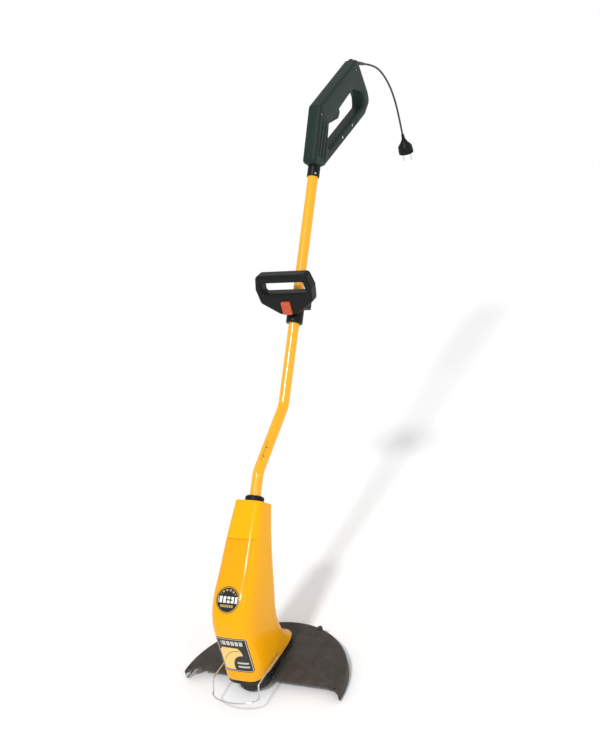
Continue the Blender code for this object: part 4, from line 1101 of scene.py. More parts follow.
def housing_skin(sides=168, per_station=8):
    """The housing's outer skin as a solid, with an eased crown."""
    turns = even_turns(sides)
    rings = []
    ease = 2.0 * MM
    for step in range(5):
        angle = math.pi / 2 * (1 - step / 4)
        ring = [shell_point(0, turn, ease * (1 - math.cos(angle))) for turn in turns]
        rings.append([point + ALONG * ease * math.sin(angle) for point in ring])
    last = len(STATIONS) - 1
    levels = [k / per_station for k in range(1, last * per_station + 1)]
    levels = [level for level in levels if abs(level - STEP_LEVEL) > 0.05]
    levels += [STEP_LEVEL - 0.004, STEP_LEVEL + 0.004]
    for level in sorted(levels):
        rings.append([shell_point(level, turn) for turn in turns])
    return loft(rings)


def housing_hollow(sides=48, per_station=3):
    turns = even_turns(sides)
    last = len(STATIONS) - 1
    levels = [0.5 + k / per_station for k in range(int((last - 0.5) * per_station) + 1)]
    if levels[-1] < last:
        levels.append(last)
    rings = [[shell_point(level, turn, HOUSING_WALL) for turn in turns] for level in levels]
    rings.append([point - Vector((0, 0, 5 * MM)) for point in rings[-1]])
    return loft(rings)


def parting_region(side):
    """What lies in front of the housing's seam (side -1) or behind it (side 1)."""
    top, foot = Vector((0, 0.1400, 0.3400)), Vector((0, 0.0300, 0.0400))
    up = (top - foot).normalized()
    out = RIGHT.cross(up) * -side
    space = plane_matrix(foot, RIGHT, up, out)
    return block((-0.1, -0.1, GAP / 2), (0.1, 0.5, 0.3), space)


def vent_slots(count):
    """Round-ended slots in a column, to cut from the housing's back."""
    slot = slab([rounded_box(23 * MM, 2.2 * MM, 2.1 * MM, 5)], [(0, 0), (90 * MM, 0)])
    return repeated(slot, count, step=(0, VENT_PITCH, 0), surface="yellow_plastic",
                    space=facing_front(Vector((0, 0.160, VENT_LOW))))


def housing_half(side):
    collar_bore = rod(COLLAR_NECK + GAP, 0.08, TUBE_FOOT - ALONG * 0.04, ALONG, 48)
    pivot = rod(BOW_WIRE + 0.5 * MM, 0.18, BOW_PIVOT - RIGHT * 0.09, RIGHT, 24)
    shell = cut(housing_skin(), housing_hollow(), collar_bore, pivot)
    return keep(shell, parting_region(side))


def lay_flat(bm, coords):
    """Gives each corner of a patch its place in the print."""
    uv = bm.loops.layers.uv.new("UVMap")
    for face in bm.faces:
        for corner in face.loops:
            corner[uv].uv = coords[corner.vert]
    return bm


def soft_square(u, v, reach=0.86, pull=0.13):
    """The place across of a point, drawn in a little near the patch's top and foot."""
    over = max(0.0, (abs(v) - reach) / (1 - reach))
    return u * (1 - pull * (1 - math.sqrt(max(0.0, 1 - over * over))))


def square_patch(levels, half_width, lift, columns=40, rows=48):
    """A thin square patch that lies on the housing's front between two levels."""
    first, last = levels
    bm = bmesh.new()
    coords, grid = {}, []
    heights = [first + (last - first) * r / rows for r in range(rows + 1)]
    line = [shell_point(level, -math.pi / 2) for level in heights]
    lengths = [0.0]
    for p, q in zip(line, line[1:]):
        lengths.append(lengths[-1] + (q - p).length)
    for level, run in zip(heights, lengths):
        v = 1 - 2 * run / lengths[-1]
        row = []
        for c in range(columns + 1):
            u = soft_square(2 * c / columns - 1, v)
            row.append(bm.verts.new(front_point(half_width * u, level, lift)))
            coords[row[-1]] = (u, v)
        grid.append(row)
    for upper, lower in zip(grid, grid[1:]):
        for c in range(columns):
            bm.faces.new((upper[c], lower[c], lower[c + 1], upper[c + 1]))
    return lay_flat(bm, coords)


class TRIMMER_OT_housing(bpy.types.Operator):
    """Build the two halves of the motor housing, with the vents in the back"""

    bl_idname = "trimmer.housing"
    bl_label = "Motor housing"

    def execute(self, context):
        piece("housing_front_shell", housing_half(-1), "yellow_plastic", "frame",
              stands_for=["housing_front"], crease=38)
        rear = cut(housing_half(1), vent_slots(context.scene.trimmer_sizes.vents))
        piece("housing_rear_shell", rear, "yellow_plastic", "frame",
              stands_for=["housing_rear"], crease=38)
        return {"FINISHED"}


def level_at(level, run, step=0.01):
    """The level that is this far up the housing's front (or down, if below 0) from a level."""
    sign = 1 if run < 0 else -1
    here = shell_point(level, -math.pi / 2)
    walked = 0.0
    while walked < abs(run):
        ahead = shell_point(level + sign * step, -math.pi / 2)
        gone = (ahead - here).length
        if walked + gone > abs(run):
            return level + sign * step * (abs(run) - walked) / gone
        walked += gone
        here = ahead
        level += sign * step
    return level


def round_patch(centre_level, radius, lift, sides=64, rings=10):
    """A round patch on the housing's front, from rings of points."""
    bm = bmesh.new()
    coords = {}

    def vertex(u, v):
        made = bm.verts.new(front_point(radius * u, level_at(centre_level, radius * v), lift))
        coords[made] = (u, v)
        return made

    loops = [[vertex(0.0, 0.0)] * sides]
    for ring in range(1, rings + 1):
        share = ring / rings
        loops.append([vertex(share * math.cos(turn), share * math.sin(turn))
                      for turn in turns_round(sides)])
    skin(bm, loops)
    return lay_flat(bm, coords)


def thickened(shape, depth):
    """A patch given a thin body, from its face inwards."""
    obj = loose(shape, "patch")
    modifier = obj.modifiers.new("body", "SOLIDIFY")
    modifier.thickness = depth
    modifier.offset = -1
    return evaluated(obj)


class TRIMMER_OT_prints(bpy.types.Operator):
    """Lay the round badge and the square label on the housing's front"""

    bl_idname = "trimmer.prints"
    bl_label = "Badge and label"

    def execute(self, context):
        badge = round_patch(BADGE_LEVEL, 25.0 * MM, PRINT_LIFT)
        piece("round_badge", thickened(badge, PRINT_BODY), "badge", "frame")
        label = square_patch(LABEL_LEVELS, 33.0 * MM, PRINT_LIFT)
        piece("front_label", thickened(label, PRINT_BODY), "label", "frame")
        return {"FINISHED"}


def base_ring(shrink, sides=72):
    return [Vector(shell_point(len(STATIONS) - 1, turn, shrink).xy) for turn in even_turns(sides)]


class TRIMMER_OT_base(bpy.types.Operator):
    """Build the black foot of the housing and the collar at its mouth"""

    bl_idname = "trimmer.base"
    bl_label = "Base plate and collar"

    def execute(self, context):
        low = BASE_Z - RIM_HEIGHT
        levels = [(low, 2 * MM)]
        for step in range(1, 7):
            turn = math.pi / 2 * step / 6
            levels.append((low + 2 * MM * (1 - math.cos(turn)), 2 * MM * (1 - math.sin(turn))))
        levels.append((BASE_Z - GAP, 0))
        plate = slab([base_ring(0.8 * MM)], levels)
        plate = join(plate, rod(17 * MM, 20 * MM, (0, 0, low + 2 * MM)))
        bearing = rod(13.3 * MM, 0.03, (0, 0, low + 11 * MM))
        passage = rod(6 * MM, 0.03, (0, 0, low - 5 * MM))
        holes = [rod(SCREW_SHANK + GAP, 16 * MM, (*spot, low - 3 * MM)) for spot in GUARD_SCREWS]
        plate = cut(plate, bearing, passage, *holes)
        piece("base_foot", plate, "black_plastic", "frame", stands_for=["base_plate"])
        inner = TUBE_RADIUS + GAP
        profile = [
            (inner, -26 * MM), (COLLAR_NECK, -26 * MM), (COLLAR_NECK, 2.6 * MM),
            (COLLAR_RADIUS, 2.6 * MM), (COLLAR_RADIUS, COLLAR_HEIGHT - 3 * MM),
            (COLLAR_RADIUS - 3 * MM, COLLAR_HEIGHT), (inner, COLLAR_HEIGHT),
        ]
        collar = turned(eased(profile, {3: 0.8 * MM, 4: 2.2 * MM, 5: 1.8 * MM}), sides=64)
        groove = block((COLLAR_RADIUS - 0.7 * MM, -0.9 * MM, 2 * MM),
                       (COLLAR_RADIUS + 2 * MM, 0.9 * MM, COLLAR_HEIGHT - 4 * MM))
        grooves = repeated(groove, 14, turn=2 * math.pi / 14, surface="black_plastic")
        collar = moved(cut(collar, grooves), along_axis(TUBE_FOOT, ALONG))
        piece("mouth_collar", collar, "black_plastic", "frame", stands_for=["tube_collar"])
        return {"FINISHED"}


# ---------------------------------------------------------------- guard and wire bow


def arc_points(centre, radius, start, end, steps):
    """Points round an arc, in plan."""
    turns = [start + (end - start) * k / steps for k in range(steps + 1)]
    return [centre + Vector((math.cos(turn), math.sin(turn))) * radius for turn in turns]


def guard_outline():
    """The guard in plan: its long arc, a horn at each end and a notch round the head."""
    low_y = GUARD_FRONT - 13 * MM
    lean = math.asin((low_y - GUARD_CENTRE.y) / GUARD_RADIUS)
    arc = arc_points(GUARD_CENTRE, GUARD_RADIUS, lean, math.pi - lean, 120)
    end = GUARD_CENTRE.x - GUARD_RADIUS
    horn = rounded([
        (end + 17 * MM, low_y + 1 * MM, 5 * MM), (end + 31 * MM, GUARD_FRONT, 9 * MM),
        (end + 60 * MM, GUARD_FRONT, 0), (end + 4 * MM, low_y, 0),
    ])[:-2]
    notch = HEAD_RADIUS + 6 * MM
    tilt = math.asin(GUARD_FRONT / notch)
    middle = arc_points(Vector((0, 0)), notch, math.pi - tilt, tilt, 32)
    other_horn = [Vector((2 * GUARD_CENTRE.x - p.x, p.y)) for p in reversed(horn)]
    return arc + horn + middle + other_horn


def guard_hollow():
    inner = GUARD_RADIUS - GUARD_WALL
    top = GUARD_TOP - GUARD_WALL
    profile = [
        (0, GUARD_LOW - 9 * MM), (inner, GUARD_LOW - 9 * MM), (inner, top - 4 * MM),
        (inner - 1.5 * MM, top - 1.5 * MM), (inner - 4 * MM, top), (0, top),
    ]
    return turned(profile, (*GUARD_CENTRE, 0), sides=144)


def under_ribs():
    """Stiffening ribs on the underside, fanned out from the pad."""
    rib = block((66 * MM, -0.9 * MM, GUARD_TOP - GUARD_WALL - 3.5 * MM),
                (GUARD_RADIUS - GUARD_WALL - 3 * MM, 0.9 * MM, GUARD_TOP - 2 * MM))
    moved(rib, Matrix.Rotation(math.radians(22), 4, "Z"))
    return repeated(rib, 5, turn=math.radians(136 / 4), surface="guard_plastic",
                    space=Matrix.Translation((*GUARD_CENTRE, 0)))


class TRIMMER_OT_guard(bpy.types.Operator):
    """Build the half-round guard and its two screws"""

    bl_idname = "trimmer.guard"
    bl_label = "Guard"

    def execute(self, context):
        levels = [(GUARD_LOW, 0.6 * MM), (GUARD_LOW + 0.6 * MM, 0)]
        levels += edge_levels(0, GUARD_TOP, 7 * MM, 8)[1:]
        guard = cut(slab([guard_outline()], levels), guard_hollow())
        lips = [block((low_x, GUARD_FRONT + 0.5 * MM, GUARD_TOP - 8 * MM),
                      (high_x, GUARD_FRONT + 3 * MM, GUARD_TOP - 2 * MM))
                for low_x, high_x in ((42 * MM, 156 * MM), (-118 * MM, -42 * MM))]
        pad_ring = [p for p in base_ring(4 * MM) if p.y > 30 * MM]
        pad_ring.sort(key=lambda p: math.atan2(p.y - 30 * MM, p.x))
        pad_top = BASE_Z - RIM_HEIGHT - GAP
        pad = slab([pad_ring], [(GUARD_TOP - 2 * MM, 0), (pad_top, 0)])
        turn = math.radians(70.4)
        spot = GUARD_CENTRE + Vector((math.cos(turn), math.sin(turn))) * (GUARD_RADIUS - 3 * MM)
        nub = turned(eased([(0, 0), (5 * MM, 0), (5 * MM, 12 * MM), (0, 12 * MM)], {2: 1.5 * MM}),
                     (*spot, GUARD_TOP - 9 * MM), sides=32)
        guard = join(guard, *lips, pad, nub, under_ribs())
        places = [(*spot, GUARD_SCREW_Z) for spot in GUARD_SCREWS]
        guard = cut(guard, *[screw_seat(place, UP, 18 * MM, 32) for place in places])
        piece("guard_moulding", guard, "guard_plastic", "frame", stands_for=["guard"], crease=32)
        screws("guard_screws", places, UP, BASE_Z - 3.5 * MM - GUARD_SCREW_Z, "frame",
               ["guard_screw_left", "guard_screw_right"])
        return {"FINISHED"}


class TRIMMER_OT_bow(bpy.types.Operator):
    """Bend the wire bow in front of the head"""

    bl_idname = "trimmer.bow"
    bl_label = "Wire bow"

    def execute(self, context):
        shoulder = BOW_PIVOT + BACK * (-85 * MM)
        toe = shoulder + Vector((0, -10 * MM, -24 * MM))
        right, ahead = RIGHT * BOW_HALF, BACK * (-22 * MM)
        turns = [math.pi * k / 36 for k in range(1, 36)]
        nose = [toe + right * math.cos(turn) + ahead * math.sin(turn) for turn in turns]
        corners = [BOW_PIVOT + RIGHT * (40 * MM), BOW_PIVOT + right, shoulder + right, toe + right]
        left = [Vector((-p.x, p.y, p.z)) for p in reversed(corners)]
        path = bent(corners, 5 * MM, 10)[:-1] + [toe + right] + nose
        path += [toe - right] + bent(left, 5 * MM, 10)[1:]
        wire = tube(path, BOW_WIRE, context.scene.trimmer_sizes.bow_sides, UP)
        piece("guide_bow", wire, "wire_steel", "wire_bow", stands_for=["wire_bow"])
        return {"FINISHED"}


# ---------------------------------------------------------------- line head


class TRIMMER_OT_head(bpy.types.Operator):
    """Build the line head: fluted cup, lid, bump cap, spool and springs"""

    bl_idname = "trimmer.head"
    bl_label = "Line head"

    def execute(self, context):
        inner = HEAD_RADIUS - 2.2 * MM
        roof = HEAD_TOP - 4 * MM
        fit = 5 * MM + GAP
        profile = [
            (fit, roof - 2 * MM), (7 * MM, roof - 2 * MM), (8.5 * MM, roof), (inner, roof),
            (inner, HEAD_LOW + 3.5 * MM), (inner + 1 * MM, HEAD_LOW + 3.5 * MM),
            (inner + 1 * MM, HEAD_LOW), (HEAD_RADIUS - 0.2 * MM, HEAD_LOW),
            (HEAD_RADIUS, HEAD_LOW + 0.6 * MM), (HEAD_RADIUS, HEAD_TOP), (fit, HEAD_TOP),
        ]
        cup = turned(eased(profile, {9: 3 * MM}, 6), sides=96)
        count = context.scene.trimmer_sizes.flutes
        flute = rod(3.0 * MM, 30 * MM, (HEAD_RADIUS + 2.2 * MM, 0, HEAD_LOW - 5 * MM), sides=20)
        moved(flute, Matrix.Rotation(math.pi / 2 + math.pi / count, 4, "Z"))
        flutes = repeated(flute, count, turn=2 * math.pi / count, surface="black_plastic")
        eye = rod(2.8 * MM, 0.01, (0, inner - 3 * MM, LINE_Z), BACK, 24)
        cup = cut(cup, flutes, eye)
        piece("fluted_cup", cup, "black_plastic", "line_head", stands_for=["head_cup"])
        lid = ring_profile(BUMP_RADIUS + 0.5 * MM, inner + 0.7 * MM, HEAD_LOW, HEAD_LOW + 2.6 * MM)
        lid = turned(eased(lid, {0: 0.5 * MM}, 3), sides=96)
        dimple = block((20 * MM, -1.0 * MM, HEAD_LOW - 2 * MM),
                       (27 * MM, 1.0 * MM, HEAD_LOW + 0.8 * MM))
        lid = cut(lid, repeated(dimple, 12, turn=math.pi / 6, surface="black_plastic"))
        piece("slotted_lid", lid, "black_plastic", "line_head", stands_for=["head_lid"])
        cap = [(0, 0), (9 * MM, 0), (13 * MM, 1.6 * MM), (BUMP_RADIUS, 5 * MM),
               (BUMP_RADIUS, SPOOL_LOW - GAP), (0, SPOOL_LOW - GAP)]
        cap = turned(eased(cap, {1: 1.5 * MM, 2: 3 * MM, 3: 3 * MM}, 6), sides=64)
        flat = rod(1.4 * MM, 12 * MM, (BUMP_RADIUS + 0.5 * MM, 0, 4.5 * MM), sides=16)
        cap = cut(cap, repeated(flat, 12, turn=math.pi / 6, surface="black_plastic"))
        piece("tap_button", cap, "black_plastic", "spool", stands_for=["bump_cap"])
        bore, neck, rim, face = 1.1 * MM, 2.5 * MM, 3.6 * MM, HEAD_RADIUS + 1.2 * MM
        eyelet = [(bore, inner - 0.6 * MM), (neck, inner - 0.6 * MM), (neck, HEAD_RADIUS + GAP),
                  (rim, HEAD_RADIUS + GAP), (rim, face), (bore, face)]
        eyelet = turned(eased(eyelet, {4: 0.4 * MM, 5: 0.4 * MM}), (0, 0, LINE_Z), BACK, 32)
        piece("steel_eyelet", eyelet, "steel", "line_head", stands_for=["line_eyelet"])
        seat = Matrix.Translation((0, 0, SPOOL_LOW + 3.6 * MM))
        bump = spring(4.5, 10 * MM, 11.2 * MM, 0.6 * MM, seat)
        bump = piece("feed_spring", bump, "steel", "line_head", stands_for=["bump_spring"])
        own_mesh(bump)
        floor = Matrix.Translation((0, 0, SPOOL_LOW + 2.7 * MM))
        layers = [spring(4, (16.6 + 1.6 * layer) * MM, 5.0 * MM, 0.8 * MM, floor, "nylon_line")
                  for layer in range(6)]
        piece("spooled_line", merged(*layers), "nylon_line", "spool", stands_for=["wound_line"])
        return {"FINISHED"}


# ---------------------------------------------------------------- shaft


def shaft_path(beyond):
    """The tube's centre line, carried this far past both its ends."""
    foot = TUBE_FOOT - ALONG * (TUBE_INSET + beyond)
    head = HANDLE_FOOT + ALONG * (TUBE_IN_HANDLE + beyond)
    return bent([foot, LOWER_BEND, UPPER_BEND, head], BEND_RADIUS, 20)


class TRIMMER_OT_shaft(bpy.types.Operator):
    """Bend the painted tube and set the sleeve on its upper end"""

    bl_idname = "trimmer.shaft"
    bl_label = "Shaft"

    def execute(self, context):
        outer = tube(shaft_path(0), TUBE_RADIUS, 56)
        bore = tube(shaft_path(5 * MM), TUBE_RADIUS - TUBE_WALL, 40)
        piece("bent_tube", cut(outer, bore), "yellow_paint", "frame", stands_for=["shaft_tube"])
        profile = ring_profile(TUBE_RADIUS + GAP, SLEEVE_RADIUS, SLEEVE_LOW, SLEEVE_TOP)
        sleeve = turned(eased(profile, {1: 0.8 * MM, 2: 0.3 * MM}, 4), HANDLE_FOOT, ALONG, 64)
        piece("upper_sleeve", sleeve, "black_plastic", "frame", stands_for=["handle_sleeve"])
        way = FORWARD * 0.62 + RIGHT * 0.72
        profile = eased(ring_profile(0, 2.2 * MM, -1 * MM, 0.9 * MM), {2: 0.5 * MM})
        head = turned(profile, on_shaft(9 * MM, 0) + way * SLEEVE_RADIUS, way, 24)
        piece("sleeve_rivet", head, "steel", "frame")
        return {"FINISHED"}


# ---------------------------------------------------------------- rear handle

HANDLE_OUTLINE = (
    (0.0260, 0.0270, 8 * MM), (0.0280, -0.0060, 8 * MM), (0.0360, -0.0190, 8 * MM),
    (0.2180, -0.1660, 22 * MM), (0.2560, -0.1800, 20 * MM), (0.2740, -0.1660, 22 * MM),
    (0.3215, -0.0990, 9 * MM), (0.1510, 0.0310, 10 * MM),
)
HANDLE_HOLE = (
    (0.0700, -0.0205, 5 * MM), (0.1280, -0.0150, 6 * MM), (0.2460, -0.0980, 10 * MM),
    (0.2600, -0.1420, 12 * MM), (0.2340, -0.1520, 12 * MM),
)
HANDLE_SCREWS = ((0.1705, -0.1143), (0.1265, -0.0786), (0.1340, 0.0215), (0.2945, -0.1010))
HANDLE_ROUND = 7.0 * MM
BAR_FOOT = Vector((0.036, -0.019))
BAR_ALONG = Vector((0.182, -0.147)).normalized()
BAR_PANEL = ((0.084, 0.0046), (0.189, 0.0046), (0.189, 0.0156), (0.084, 0.0156))


def bar_panel(side):
    """A shallow recess round the screws in the lower bar's side."""
    across = Vector((-BAR_ALONG.y, BAR_ALONG.x))
    corners = [BAR_FOOT + BAR_ALONG * along + across * width for along, width in BAR_PANEL]
    outline = rounded([(*corner, 4 * MM) for corner in corners])
    deep, out = side * (HANDLE_HALF - 0.9 * MM), side * (HANDLE_HALF + 2 * MM)
    return slab([outline], sorted([(deep, 0.5 * MM), (out, -1.0 * MM)]), SHAFT_PLANE)


TRIGGER_PIN = (10 * MM, 9 * MM)
TRIGGER_OUTLINE = (
    (3.0 * MM, -2.5 * MM, 2 * MM), (58.0 * MM, -19.0 * MM, 7 * MM), (73.0 * MM, -12.0 * MM, 6 * MM),
    (76.0 * MM, 8.0 * MM, 1 * MM), (60.0 * MM, 11.0 * MM, 1 * MM), (17.0 * MM, 14.0 * MM, 3 * MM),
    (3.0 * MM, 14.0 * MM, 3 * MM),
)


def handle_tools():
    """What is cut from each half of the handle."""
    gland_axis = on_shaft(*GLAND_TIP) - on_shaft(*GLAND_BASE)
    pocket = [(0, -3 * MM), (8 * MM, -3 * MM), (8 * MM, 3.4 * MM), (5.3 * MM, 3.4 * MM),
              (5.3 * MM, 40 * MM), (0, 40 * MM)]
    tools = [
        rod(SLEEVE_RADIUS + GAP, 0.06, on_shaft(SLEEVE_TOP - 0.06 + GAP, 0), ALONG, 48),
        rod(TUBE_RADIUS + GAP, TUBE_IN_HANDLE - SLEEVE_TOP + 2 * MM, on_shaft(SLEEVE_TOP, 0),
            ALONG, 48),
        block((-6 * MM, 3 * MM, -12 * MM), (112 * MM, 35.5 * MM, 12 * MM), GRIP_PLANE),
        block((-1.5 * MM, -8 * MM, -TRIGGER_HALF - 0.5 * MM),
              (79 * MM, 5 * MM, TRIGGER_HALF + 0.5 * MM), GRIP_PLANE),
        turned(pocket, on_shaft(*GLAND_BASE), gland_axis, 32),
    ]
    for s, n in HANDLE_SCREWS:
        tools.append(screw_seat(on_shaft(s, n, HANDLE_HALF - 2.2 * MM), -RIGHT, 23.5 * MM))
    return tools


def handle_half(side):
    loops = [rounded(HANDLE_OUTLINE), rounded(HANDLE_HOLE)]
    levels = edge_levels(GAP / 2, HANDLE_HALF, HANDLE_ROUND)
    if side < 0:
        levels = [(-height, step) for height, step in levels]
    half = slab(loops, levels, SHAFT_PLANE)
    return cut(half, *handle_tools())


def flute(length, radius, depth):
    """A long groove with round ends, along X, for cutting from a face at Z = 0."""
    steps = 20
    points = [Vector((length * k / steps, 0, radius - depth)) for k in range(steps + 1)]
    shares = [min(1.0, min(k, steps - k) / 2.5) for k in range(steps + 1)]
    radii = [radius - depth * 1.05 * (1 - math.sqrt(share)) for share in shares]
    return tube(points, radii, 28, UP)


class TRIMMER_OT_handle(bpy.types.Operator):
    """Build the rear handle's two halves, its trigger and its screws"""

    bl_idname = "trimmer.handle"
    bl_label = "Rear handle"

    def execute(self, context):
        for name, side in (("handle_left", -1), ("handle_right", 1)):
            half = handle_half(side)
            space = SHAFT_PLANE @ Matrix.Translation((38 * MM, -9 * MM, side * HANDLE_HALF))
            if side < 0:
                space = space @ Matrix.Diagonal((1, 1, -1)).to_4x4()
            grooves = repeated(flute(92 * MM, 5 * MM, 1.8 * MM), 3, step=(1 * MM, 12 * MM, 0),
                               surface="grip_plastic", space=space)
            half = cut(half, grooves, bar_panel(side))
            piece(f"{name}_shell", half, "grip_plastic", "frame", stands_for=[name], crease=30)
        places = [on_shaft(s, n, HANDLE_HALF - 1.3 * MM) for s, n in HANDLE_SCREWS]
        screws("handle_screws", places, -RIGHT, 22 * MM, "frame",
               [f"handle_screw_{k}" for k in (1, 2, 3, 4)])
        lever = slab([rounded(TRIGGER_OUTLINE)], both_edges(TRIGGER_HALF, 2 * MM, 5), GRIP_PLANE)
        bore = rod(2.5 * MM, 0.03, on_grip(*TRIGGER_PIN, -15 * MM), RIGHT, 24)
        heel, toe = (Vector((x, y, 0)) for x, y, _ in TRIGGER_OUTLINE[:2])
        start = on_grip(*(heel.lerp(toe, 0.35).xy + Vector((0, -0.2 * MM))), -5 * MM)
        step = (GRIP_PLANE.to_3x3() @ (toe - heel).normalized()) * 3.2 * MM
        ribs = repeated(rod(0.9 * MM, 10 * MM, (0, 0, 0), RIGHT, 16), 7, step=step,
                        surface="grip_plastic", space=Matrix.Translation(start))
        piece("trigger_lever", cut(lever, bore, ribs), "grip_plastic", "trigger",
              stands_for=["trigger"], crease=30)
        space = GRIP_PLANE @ Matrix.Translation((*TRIGGER_PIN, 8 * MM))
        coil = spring(3, 3.2 * MM, 3.0 * MM, 0.45 * MM, space)
        piece("return_spring", coil, "steel", "trigger", stands_for=["trigger_spring"])
        return {"FINISHED"}


class TRIMMER_OT_cord(bpy.types.Operator):
    """Lay the cord from the gland to the plug, with its strain relief"""

    bl_idname = "trimmer.cord"
    bl_label = "Cord and plug"

    def execute(self, context):
        base, tip = on_shaft(*GLAND_BASE), on_shaft(*GLAND_TIP)
        out = (tip - base).normalized()
        radius = context.scene.trimmer_sizes.cord_diameter / 2
        route = [tip + out * GAP, tip + out * 12 * MM]
        route += [Vector((0, y, z)) for y, z in CORD_ROUTE]
        path = smooth_path(route, 3.0 * MM)
        shape = tube(path, radius, 24)
        cord = piece("supply_cord", shape, "cord_rubber", "frame", stands_for=["cord"])
        length = sum((q - p).length for p, q in zip(path, path[1:]))
        plug_at = route[-1] - Vector((0, 0, GAP))
        body = self.plug(plug_at)
        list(self.pins(plug_at))
        self.gland(base, tip, out)
        return {"FINISHED"}

    def plug(self, at):
        """The moulded plug: a ribbed neck that swells to a round face."""
        neck = [(0, 0), (3.2 * MM, 0), (4.4 * MM, -12 * MM), (9 * MM, -20 * MM), (17 * MM, -30 * MM),
                (17.6 * MM, -40 * MM), (17.6 * MM, -48 * MM), (0, -48 * MM)]
        shape = turned(eased(neck, {1: 0.6 * MM, 2: 8 * MM, 3: 9 * MM, 4: 6 * MM, 6: 1.5 * MM}, 8), at,
                       sides=64)
        ring = turned(ring_profile(3.0 * MM, 5.0 * MM, 0, -0.9 * MM), sides=48)
        rings = repeated(ring, 4, step=(0, 0, -2.4 * MM), surface="black_plastic",
                         space=Matrix.Translation(at - Vector((0, 0, 1.6 * MM))))
        shape = cut(shape, rings)
        grip = rod(1.2 * MM, 9 * MM, (18.1 * MM, 0, -46 * MM), sides=16)
        grips = repeated(grip, 28, turn=2 * math.pi / 28, surface="black_plastic",
                         space=Matrix.Translation(at))
        return piece("cord_plug", cut(shape, grips), "black_plastic", "frame", stands_for=["plug"])

    def pins(self, at):
        made = []
        for name, side in (("left", -1), ("right", 1)):
            profile = eased(ring_profile(0, 2.4 * MM, 0, 19 * MM), {2: 1.8 * MM}, 6)
            pin = turned(profile, at + Vector((side * 9.5 * MM, 0, -48.3 * MM)), -UP, 32)
            made.append(piece(f"pin_{name}", pin, "steel", "frame", stands_for=[f"plug_pin_{name}"]))
        return made

    def gland(self, base, tip, out):
        """The ribbed sleeve that keeps the cord from kinking at the handle."""
        length = (tip - base).length
        profile = [(0, 0), (7.6 * MM, 0), (7.6 * MM, 3 * MM), (5.0 * MM, 3 * MM), (5.0 * MM, 16 * MM),
                   (3.4 * MM, length - 1 * MM), (2.9 * MM, length), (0, length)]
        sleeve = turned(eased(profile, {6: 0.5 * MM}, 3), sides=48)
        ring = turned(ring_profile(3.9 * MM, 7 * MM, 0, 1.4 * MM), sides=40)
        rings = repeated(ring, 5, step=(0, 0, 3.6 * MM), surface="cord_rubber",
                         space=Matrix.Translation((0, 0, 21 * MM)))
        sleeve = moved(cut(sleeve, rings), along_axis(base, out))
        piece("strain_relief", sleeve, "cord_rubber", "frame", stands_for=["cord_gland"])


# ---------------------------------------------------------------- auxiliary handle


def loop_outline():
    top = LOOP_TOP
    return rounded((
        (-0.0570, top, 9 * MM), (-0.0640, top - 29 * MM, 12 * MM), (-0.0590, top - 60 * MM, 10 * MM),
        (-0.0190, top - 86 * MM, 10 * MM), (0.0190, top - 86 * MM, 10 * MM),
        (0.0590, top - 60 * MM, 10 * MM), (0.0640, top - 29 * MM, 12 * MM), (0.0570, top, 9 * MM),
    ))


def slot_outline():
    top = LOOP_TOP - BAR_HEIGHT
    low = top - SLOT_HEIGHT
    upper_half = SLOT_HALF - 2 * MM
    return rounded(((-upper_half, top, 4 * MM), (upper_half, top, 4 * MM),
                    (SLOT_HALF, low, 4 * MM), (-SLOT_HALF, low, 4 * MM)))


def collar_solid():
    profile = eased(ring_profile(0, CLAMP_RADIUS, 0, CLAMP_LENGTH), {1: 1.5 * MM, 2: 1.5 * MM})
    body = turned(profile, on_shaft(CLAMP_LOW, 0), ALONG, 64)
    ears = block((30 * MM, -8 * MM, -30 * MM), (46 * MM, 8 * MM, 30 * MM), CLAMP_PLANE)
    return join(body, ears)


CLAMP_SCREWS = [on_shaft(CLAMP_LOW + 38 * MM, -6.8 * MM, side * 23.5 * MM) for side in (-1, 1)]


def clamp_cuts():
    """The bore for the tube and the holes for the clamp's screws."""
    bore = rod(TUBE_RADIUS + 0.5 * MM, CLAMP_LENGTH + 40 * MM, on_shaft(CLAMP_LOW - 20 * MM, 0),
               ALONG, 56)
    return [bore, *[screw_seat(place, FORWARD, 14 * MM) for place in CLAMP_SCREWS]]


